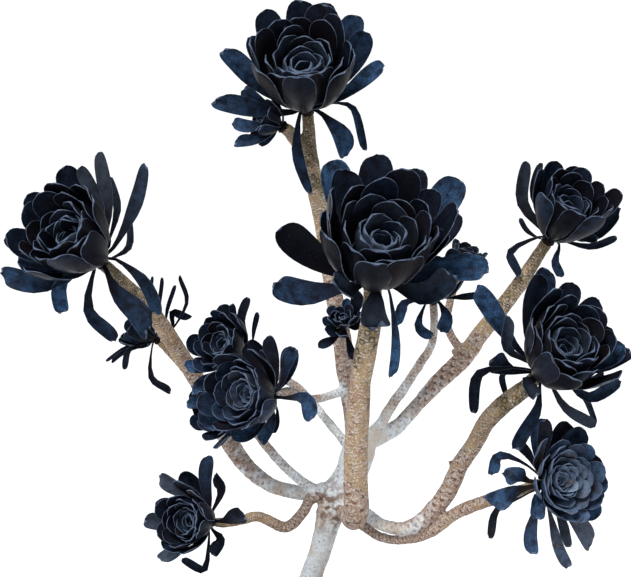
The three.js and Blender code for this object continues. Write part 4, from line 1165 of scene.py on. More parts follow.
@dataclass
class Rosette:
    """A head of leaves at the end of the branch of the same name.

    `base` is the middle of the leaves' feet, `axis` the way the bud looks, `reach` the length of
    the longest leaves, `wide` a leaf's width over that length, `lift` how many degrees the
    outermost leaves rise over the rosette's own plane, `turn` where the spiral starts, the field
    after it how blue its leaves are, partly from wax and partly from painted sheen, and `brown` and
    `powder` how much brown and pale grey dust they show. `tiled` says
    how much the head looks like laid tiles: the larger it is, the smaller and straighter are the
    inner leaves, and the sooner they open. `old` holds the leaves that stand singly.
    """

    name: str
    base: Triple
    axis: Triple
    reach: float
    wide: float
    lift: float
    count: int
    turn: float
    bloom_and_sheen: float
    brown: float = 0.1
    powder: float = 0.2
    tiled: float = 0.4
    old: list[Old | Seen] = field(default_factory=list)

    def directions(self) -> tuple[np.ndarray, np.ndarray, np.ndarray]:
        """The rosette's axis and two directions square to it and to each other."""
        axis = unit(np.array(self.axis, dtype=float))
        across = square_to(np.array([1.0, 0.0, 0.0]), axis)
        return axis, across, np.cross(axis, across)

    def spiral(self, index: int, which: np.ndarray, give: Triple = (0, 0, 1)) -> Blades:
        """Leaves of the golden-angle spiral, the outermost being number 0.

        Leaf i stands at i golden angles round the axis. With t from 0 at the bud to 1 outside, its
        tilt from the axis grows from 4 degrees to 100 less the lift and its length to 1.04 times
        the reach, both with powers of t that depend on how tiled the head is. Its width is full
        from some t on, its foot slides down the core, and its bow, the bend over its whole length,
        lessens unless the head is much tiled. The bud's leaves are deeper cupped, bluer and dustier.

        Args:
            index: The rosette's own number, for the seeded chance.
            which: Numbers of the leaves wanted.
            give: Degrees round and of tilt, and share of the length, by which they give way.

        Returns:
            The leaves.
        """
        axis, across, third = self.directions()
        tiled = self.tiled
        seed = index * 100 + which
        t = 1 - which / (self.count - 1)
        azimuth = np.radians(self.turn + which * GOLDEN + jitter(seed, TURN_SPREAD) + give[0])
        tilt = mix(4, 100 - self.lift, t ** (0.8 - 0.25 * tiled))
        tilt = tilt + jitter(seed + 0.3, TILT_SPREAD) + give[1]
        grown = mix(0.34 - 0.16 * tiled, 1.04, t ** (0.75 + 0.1 * tiled))
        length = self.reach * grown * mix(*LENGTHS, rand(seed + 0.6)) * give[2]
        bow = mix(60 - 30 * tiled, 44 - 10 * tiled, t) + jitter(seed + 0.8, BOW_SPREAD)
        out = across * np.cos(azimuth)[:, None] + third * np.sin(azimuth)[:, None]
        place = np.array(self.base) + axis * (self.reach * mix(0.17, 0.02, t) + 1)[:, None]
        path = [place]
        for part in (0.5, 0.17, -0.17, -0.5):
            aim = np.radians(tilt + bow * part)[:, None]
            place = place + (axis * np.cos(aim) + out * np.sin(aim)) * (length / 4)[:, None]
            path.append(place)
        slim = mix(0.74 - 0.42 * tiled, 1.0, np.minimum(t / (0.25 + 0.45 * tiled), 1))
        # How blue each leaf is, partly wax and partly painted sheen; the bud's leaves more so.
        blue = self.bloom_and_sheen * mix(rand(seed + 0.15) ** 1.6, 1.0, self.bloom_and_sheen**2) * mix(0.8, 1.1, t)
        blue = blue + 1.6 * self.powder * np.clip(1 - t / 0.5, 0, 1)
        dusty = self.powder * np.clip(1.2 - t * (2.4 - 1.6 * self.powder), 0, 1)
        return Blades(
            spine=spline(np.stack(path, axis=1), STATIONS),
            face=axis - 0.35 * out,
            width=self.reach * self.wide * slim * mix(*WIDTHS, rand(seed + 0.45)),
            roll=jitter(seed + 0.9, ROLL_SPREAD) * mix(0.4, 1, t),
            cup=mix(0.24, 0.10, t) * mix(*CUPS, rand(seed + 0.35)),
            wither=0.25 * rand(seed + 0.75) * t,
            tone=rand(seed + 0.05),
            bloom_and_sheen=np.clip(blue, 0, 1),
            powder=dusty * mix(0.75, 1.1, rand(seed + 0.65)),
            brown=self.brown * rand(seed + 0.55) ** 0.7,
        )

    def stray(self, index: int, number: int, push: Triple = (0, 0, 0)) -> Blades:
        """One of the leaves that stand singly, which pass given points.

        Args:
            index: The rosette's own number, for the seeded chance.
            number: The leaf's number in `old`.
            push: How far its tip gives way, in mm; its middle gives way less.

        Returns:
            The leaf.
        """
        leaf = self.old[number]
        axis = self.directions()[0]
        passed = leaf.passed(axis)
        key = index * 100 + number + 0.5
        foot = axis * (0.05 * self.reach + 2.5)
        foot = foot + unit(passed[0]) * (0.6 + rand(leaf.width * 3.7 + leaf.roll))
        passed = passed + np.array(push, dtype=float) * np.array([[1 / 3], [2 / 3], [1.0]])
        path = np.concatenate([foot[None], passed]) + np.array(self.base)
        # A trace of the view's upward direction keeps the face defined on a leaf seen end on.
        looks = mix(axis, VIEW_NEAR, leaf.facing) + 0.001 * VIEW_UP
        return Blades(
            spine=spline(path, STATIONS)[None],
            face=square_to(looks, unit(path[-1] - path[0]))[None],
            width=np.array([leaf.width], dtype=float),
            roll=np.array([leaf.roll / 2], dtype=float),
            cup=np.array([0.2 + 0.12 * rand(key)]),
            wither=np.array([leaf.wither]),
            tone=np.array([rand(key + 0.2)]),
            bloom_and_sheen=np.array([leaf.bloom_and_sheen]),
            powder=np.array([leaf.powder]),
            brown=np.array([self.brown * 0.5]),
        )

    def core(self, stem: Branch) -> Skin:
        """The fleshy core, from just above the stem's end to the bud: rings whose radius swells
        under the leaves and closes almost in a point."""
        axis = self.directions()[0]
        end, run, radius = stem.end()
        base = np.array(self.base)
        foot = end + run * GAP
        waist = (foot + base + axis * 3) / 2
        low, high = (base + axis * share * self.reach for share in (0.12, 0.36))
        way = np.linspace(0, 1, 9)
        middle = spline(np.stack([foot, waist, low, high]), way)
        swell = radius * np.interp(way, [0, 0.35, 0.7, 1], [0.97, 1.15, 0.75, 0.1])
        values = {"edge": 6.0, "way": 0.0, "tone": 0.4, "bloom_and_sheen": 0.1, "powder": 0.0, "brown": 0.6}
        return tube(middle, swell, 20, values)

    def find_room(self, index: int, habit: Habit, thicket: Thicket) -> list[Blades]:
        """Grows the rosette's stray or spiral leaves, each bent clear of the wood and of the other
        rosettes.

        Args:
            index: The rosette's own number.
            habit: Which of its leaves.
            thicket: What has grown; these leaves are added to it.

        Returns:
            The leaves that found room.
        """
        stray = habit is Habit.STRAY
        amount = len(self.old) if stray else self.count
        ways = ways_to_move() if stray else ways_to_turn()
        grown = []
        for number in range(amount):
            for way in ways:
                if stray:
                    leaf = self.stray(index, number, way)
                else:
                    leaf = self.spiral(index, np.array([number]), way)
                points = leaf.corners()[0][:, CLEAR_FROM:].reshape(-1, 3)
                if not thicket.crosses(self.name, points, CLEAR_QUADS):
                    grown.append(leaf)
                    break
        LOG.info("rosette %s: %d of %d %s leaves", self.name, len(grown), amount, habit.value)
        if grown:
            leaves = gathered(grown).skin()
            thicket.add(self.name, leaves.points, leaves.quads)
        return grown

    def skin(self, grown: list[Blades], stem: Branch) -> Skin:
        """The closed surfaces of its core and leaves."""
        return joined([self.core(stem), gathered(grown).skin()])


# ------------------------------------------------------------------------------- wood


@dataclass
class Branch:
    """A grown stem: its centre line with radii in mm, and its bark's age from 0, with fresh leaf
    scars, to 1, whitish grey, at its foot and at its end."""

    name: str
    rows: list[Row]
    foot_age: float
    end_age: float

    def line(self, step: float) -> tuple[np.ndarray, np.ndarray]:
        """The centre line's points about `step` mm apart, and the radius at each."""
        rows = np.array(self.rows, dtype=float)
        length = np.linalg.norm(np.diff(rows[:, :3], axis=0), axis=1).sum()
        fine = spline(rows, np.linspace(0, 1, max(int(length / step), 4)))
        return fine[:, :3], fine[:, 3]

    def end(self) -> tuple[np.ndarray, np.ndarray, float]:
        """Where the branch ends, the way it runs there and its radius."""
        rows = np.array(self.rows, dtype=float)
        return rows[-1, :3], unit(rows[-1, :3] - rows[-2, :3]), rows[-1, 3]


def scar_step(radius: np.ndarray) -> np.ndarray:
    """How far apart leaf scars follow each other along a stem, in mm."""
    return SCAR_RISE * 2 * np.pi * np.maximum(radius, SCAR_LEAST_RADIUS)


@dataclass
class Wood:
    """The trunk and all branches as one grown skin whose forks are rounded. Sizes are in mm: a
    branch starts as a tube with a ring every `step`, wider all round by `swell`, the skin's faces
    are `voxel` wide, and the lumps at the `knot` fade over `knot_size`."""

    branches: list[Branch]
    step: float = 3.0
    sides: int = 32
    swell: float = 0.1
    voxel: float = 1.5
    smoothing: int = 5
    knot: Triple = (16.0, -3.0, 372.0)
    knot_size: float = 17.0

    def raw(self) -> Skin:
        """All branches as overlapping tubes, with two short pruned spurs."""
        skins = []
        for branch in self.branches:
            middle, radius = branch.line(self.step)
            skins.append(tube(middle, radius + self.swell, self.sides, {}))
        for spur in SPURS:
            rows = np.array(spur, dtype=float)
            skins.append(tube(rows[:, :3], rows[:, 3], 12, {}))
        return joined(skins)

    def rounded(self) -> tuple[np.ndarray, np.ndarray, np.ndarray]:
        """The tubes made one closed skin of even small faces, smoothed at the forks.

        Returns:
            Corner points, their outward directions and the quads.
        """
        rough = self.raw().object("wood_rough", bpy.data.materials.new("wood_rough"))
        one = rough.modifiers.new("one_skin", "REMESH")
        one.mode = "VOXEL"
        one.voxel_size = self.voxel * MM
        ease = rough.modifiers.new("ease", "SMOOTH")
        ease.factor = 0.5
        ease.iterations = self.smoothing
        shown = rough.evaluated_get(bpy.context.evaluated_depsgraph_get())
        mesh = shown.to_mesh()
        points = np.empty(len(mesh.vertices) * 3, dtype=np.float32)
        normals = np.empty(len(mesh.vertices) * 3, dtype=np.float32)
        mesh.vertices.foreach_get("co", points)
        mesh.vertex_normals.foreach_get("vector", normals)
        corners = np.empty(len(mesh.loops), dtype=np.int32)
        mesh.loops.foreach_get("vertex_index", corners)
        sizes = np.empty(len(mesh.polygons), dtype=np.int32)
        mesh.polygons.foreach_get("loop_total", sizes)
        if np.any(sizes != 4):
            raise ValueError("the wood's skin has a face that isn't a quad")
        shown.to_mesh_clear()
        bpy.data.objects.remove(rough)
        return points.reshape(-1, 3) / MM, normals.reshape(-1, 3), corners.reshape(-1, 4)

    def build(self) -> Skin:
        """The bark's surface with its pattern map.

        Every place belongs to the nearest branch. Round that branch, a is the angle in whole
        turns, and along it, n counts the leaf scars, one for each golden angle. The pattern map
        holds them in steps of the two nearest scars, the fifth and the eighth: -8 a + 0.0557 n
        and 5 a + 0.0902 n, so that it joins up round the stem. The surface gets soft lumps, larger
        ones at the knot where the branches part, and none inside the soil.

        Returns:
            The closed surface with the values age and knot.
        """
        points, normals, quads = self.rounded()
        table = []
        for branch in self.branches:
            line, thick = branch.line(self.step)
            run = unit(np.gradient(line, axis=0))
            side = carried(np.array([0.1, 1.0, 0.05]), run)
            steps = np.concatenate([[0], np.linalg.norm(np.diff(line, axis=0), axis=1)])
            scars = np.cumsum(steps / scar_step(thick))
            age = mix(branch.foot_age, branch.end_age, np.linspace(0, 1, len(line)))
            table.append((line, run, side, thick, scars, age))
        middle, along, side, radius, count, age = (np.concatenate(part) for part in zip(*table))
        up = np.cross(along, side)

        def nearest(places: np.ndarray) -> np.ndarray:
            """The number of the centre-line point whose tube surface is nearest to each place."""
            found = []
            for part in np.array_split(places, max(len(places) // 4000, 1)):
                far = np.linalg.norm(part[:, None] - middle[None], axis=2) - radius[None]
                found.append(np.argmin(far, axis=1))
            return np.concatenate(found)

        owner = nearest(points[quads].mean(axis=1))
        off = points[quads] - middle[owner][:, None]
        rise, ahead, beyond = (np.sum(off * way[owner][:, None], 2) for way in (up, side, along))
        turn = np.arctan2(rise, ahead) / (2 * np.pi)
        turn = turn[:, :1] + (turn - turn[:, :1] + 0.5) % 1.0 - 0.5
        scars = count[owner][:, None] + beyond / scar_step(radius[owner])[:, None]
        pairs = zip(PATTERN_PER_TURN, PATTERN_PER_SCAR)
        uv = np.stack([per_turn * turn + per_scar * scars for per_turn, per_scar in pairs], axis=-1)
        far = np.linalg.norm((points - self.knot) * [1, 1, 0.7], axis=1)
        knot = np.exp(-((far / self.knot_size) ** 2))
        lumps = 0.35 * ripple(points, 16, 1) + 0.2 * ripple(points, 6, 2)
        lumps = lumps + knot * 1.8 * ripple(points, 9, 3)
        bare = np.clip((points[:, 2] - (SOIL_TOP + SOIL_MOUND)) / 20, 0, 1)
        values = {"age": age[nearest(points)], "knot": knot}
        points = points + normals * (lumps * bare)[:, None]
        return Skin(points, quads, quad_uv=uv, tri_uv=np.zeros((0, 3, 2)), values=values)


# ------------------------------------------------------------------------------- pot and soil


@dataclass
class Pot:
    """A plain tapered clay pot with a thick band under its rim."""

    sides: int = 128
    unevenness: float = 0.45

    def wall_at(self, height: float) -> float:
        """Outer radius of the plain wall at a height."""
        slope = (POT_RIM_RADIUS - POT_BAND_STEP - POT_FOOT_RADIUS) / POT_HEIGHT
        return POT_FOOT_RADIUS + slope * height

    def room_at(self, height: float) -> float:
        """Inner radius at a height."""
        return self.wall_at(height) - POT_WALL

    def build(self) -> Skin:
        """The pot's surface: its outline turned round the axis, with slightly uneven walls."""
        band = POT_HEIGHT - POT_BAND_HEIGHT
        top = POT_HEIGHT
        foot = POT_FOOT_RADIUS
        rim = POT_RIM_RADIUS
        lip = rim - POT_BAND_STEP - POT_WALL
        wall = self.wall_at
        step = wall(band) + POT_BAND_STEP
        profile = [
            (0, 0),
            (foot - 6, 0),
            (foot - 2.5, 0.5),
            (foot - 0.4, 2.4),
            *((wall(z), z) for z in np.linspace(6, band - 6, 14)),
            (wall(band - 3), band - 3),
            (wall(band) + 1.2, band - 0.6),
            (step - 2, band + 0.4),
            (step - 0.3, band + 2.6),
            (step + 0.4, band + 7),
            (rim - 0.6, top - 20),
            (rim - 0.1, top - 8),
            (rim - 0.3, top - 4),
            (rim - 1.6, top - 1.4),
            (rim - 4.2, top),
            (lip + 4.0, top),
            (lip + 1.4, top - 1.4),
            (lip + 0.2, top - 4),
            *((self.room_at(z), z) for z in np.linspace(top - 7, POT_FLOOR + 4, 12)),
            (self.room_at(POT_FLOOR) - 5, POT_FLOOR),
            (0, POT_FLOOR),
        ]
        return turned(profile, self.sides, 4.0, self.unevenness)

    def drill(self, shell: bpy.types.Object) -> None:
        """Cuts the drain holes: hole k is a round rod at the angle 2 pi (k + 1/4) / 3 on the drain
        circle, taken away from the floor.

        Args:
            shell: The pot, which gets the pierced mesh.
        """
        rods = []
        heights = np.linspace(-8, POT_FLOOR + 8, 8)
        for k in range(DRAIN_HOLES):
            angle = 2 * math.pi * (k + 0.25) / DRAIN_HOLES
            x, y = DRAIN_CIRCLE * math.cos(angle), DRAIN_CIRCLE * math.sin(angle)
            middle = np.array([[x, y, z] for z in heights])
            rods.append(tube(middle, np.full(len(heights), DRAIN_RADIUS), 32, {}))
        rod = joined(rods).object("drain_rods", shell.data.materials[0])
        cut = shell.modifiers.new("drains", "BOOLEAN")
        cut.operation = "DIFFERENCE"
        cut.solver = "EXACT"
        cut.object = rod
        pierced = shell.evaluated_get(bpy.context.evaluated_depsgraph_get())
        mesh = bpy.data.meshes.new_from_object(pierced)
        shell.modifiers.clear()
        shell.data = mesh
        bpy.data.objects.remove(rod)
        LOG.info("clay_pot: %d faces with its drain holes", len(mesh.polygons))


def lump_shape() -> tuple[np.ndarray, np.ndarray]:
    """A twenty-sided lump: its corners are (0, a, b) and its turns, with a = 1 or -1 and b the
    golden ratio or minus it, made one long; its faces join every three that are one edge apart.

    Returns:
        The twelve corners and the twenty outward faces.
    """
    golden = (1 + math.sqrt(5)) / 2
    corners = []
    for a in (-1, 1):
        for b in (-golden, golden):
            corners += [(0, a, b), (a, b, 0), (b, 0, a)]
    corners = unit(np.array(corners, dtype=float))
    faces = []
    for trio in combinations(range(len(corners)), 3):
        a, b, c = corners[list(trio)]
        if max(np.linalg.norm(a - b), np.linalg.norm(b - c), np.linalg.norm(c - a)) < 1.1:
            outward = np.dot(np.cross(b - a, c - a), a + b + c) > 0
            faces.append(trio if outward else (trio[0], trio[2], trio[1]))
    return corners, np.array(faces)


@dataclass
class Soil:
    """The potting mix: a loosely mounded surface with a hole for the trunk, and grit on top."""

    pot: Pot
    trunk: Branch
    rings: int = 46
    sides: int = 150
    stones: int = 420
    stone_sizes: tuple[float, float] = (0.8, 3.4)

    def height(self, places: np.ndarray) -> np.ndarray:
        """Height of the surface: a low mound with soft lumps, sinking a little at the wall."""
        far = np.linalg.norm(places[..., :2], axis=-1) / self.pot.room_at(SOIL_TOP)
        lumps = 1.5 * ripple(places, 34, 5) + 0.9 * ripple(places, 12, 6) + 0.4 * ripple(places, 5, 7)
        return SOIL_TOP + SOIL_MOUND * (1 - far**2) + lumps - 1.5 * np.clip(far - 0.9, 0, 1) * 10

    def trunk_room(self) -> tuple[np.ndarray, float]:
        """Middle and radius of the hole in which the trunk stands, at the surface."""
        line, radius = self.trunk.line(1.0)
        near = np.argmin(np.abs(line[:, 2] - SOIL_TOP))
        return line[near, :2], float(radius[: near + 8].max() + GAP + 0.5)

    def build(self) -> Skin:
        """The soil's surface: rings that run from the trunk's hole to the pot's wall, down the
        wall and under, and back up inside the hole."""
        middle, hole = self.trunk_room()
        angle = np.arange(self.sides) * 2 * np.pi / self.sides
        way = np.linspace(0, 1, self.rings)[:, None, None]
        circle = np.stack([np.cos(angle), np.sin(angle)], axis=-1)[None]

        def level(flat: np.ndarray, z: float) -> np.ndarray:
            """Rings at one height from their places in plan."""
            return np.concatenate([flat, np.full((*flat.shape[:2], 1), z)], axis=-1)

        inside = middle + circle * hole
        outside = circle * (self.pot.room_at(SOIL_TOP) - GAP)
        top = level(inside + (outside - inside) * way, SOIL_TOP)
        top[..., 2] = self.height(top)
        rings = [top]
        bottom = POT_FLOOR + GAP
        for z in (SOIL_TOP - 8, POT_FLOOR + 6, bottom):
            rings.append(level(circle * (self.pot.room_at(z) - GAP), z))
        rings.append(level(circle * 4, bottom))
        rings.append(level(middle + circle * 4, TRUNK_FOOT - 4))
        rings.append(level(inside, TRUNK_FOOT - GAP))
        points = np.concatenate(rings).reshape(-1, 3)
        total = len(points) // self.sides
        last = (total - 1) * self.sides
        s = np.arange(self.sides)
        after = (s + 1) % self.sides
        joint = np.stack([last + s, last + after, after, s], axis=-1)
        quads = np.concatenate([ring_faces(1, total, self.sides), joint])
        return Skin(points, quads[:, ::-1])

    def grit(self) -> Skin:
        """Stones on the surface: squashed twenty-sided lumps of seeded sizes, half sunk in."""
        number = np.arange(self.stones)
        far = np.sqrt(mix(0.03, 0.9, rand(number + 0.1))) * self.pot.room_at(SOIL_TOP)
        angle = rand(number + 0.3) * 2 * np.pi
        place = np.stack([far * np.cos(angle), far * np.sin(angle), far * 0], axis=-1)
        middle, hole = self.trunk_room()
        away = np.linalg.norm(place[:, :2] - middle, axis=1) > hole + 6
        number, place = number[away], place[away]
        place[:, 2] = self.height(place)
        size = mix(*self.stone_sizes, rand(number + 0.7) ** 3.0)
        place[:, 2] += 0.15 * size
        lump, faces = lump_shape()
        corners = np.arange(len(lump))
        uneven = mix(0.7, 1.2, rand(number[:, None] * 13.0 + corners[None]))
        broad = [mix(0.8, 1.3, rand(number + key)) for key in (0.11, 0.22)]
        squash = np.stack([*broad, np.full(len(number), 0.7)], axis=-1)
        shape = lump[None] * uneven[..., None] * squash[:, None] * size[:, None, None]
        points = (place[:, None] + shape).reshape(-1, 3)
        tris = (faces[None] + len(lump) * np.arange(len(number))[:, None, None]).reshape(-1, 3)
        values = {"tone": np.repeat(rand(number + 0.9), len(lump))}
        return Skin(points, np.zeros((0, 4), dtype=int), tris, values=values)


# ------------------------------------------------------------------------------- the rosettes


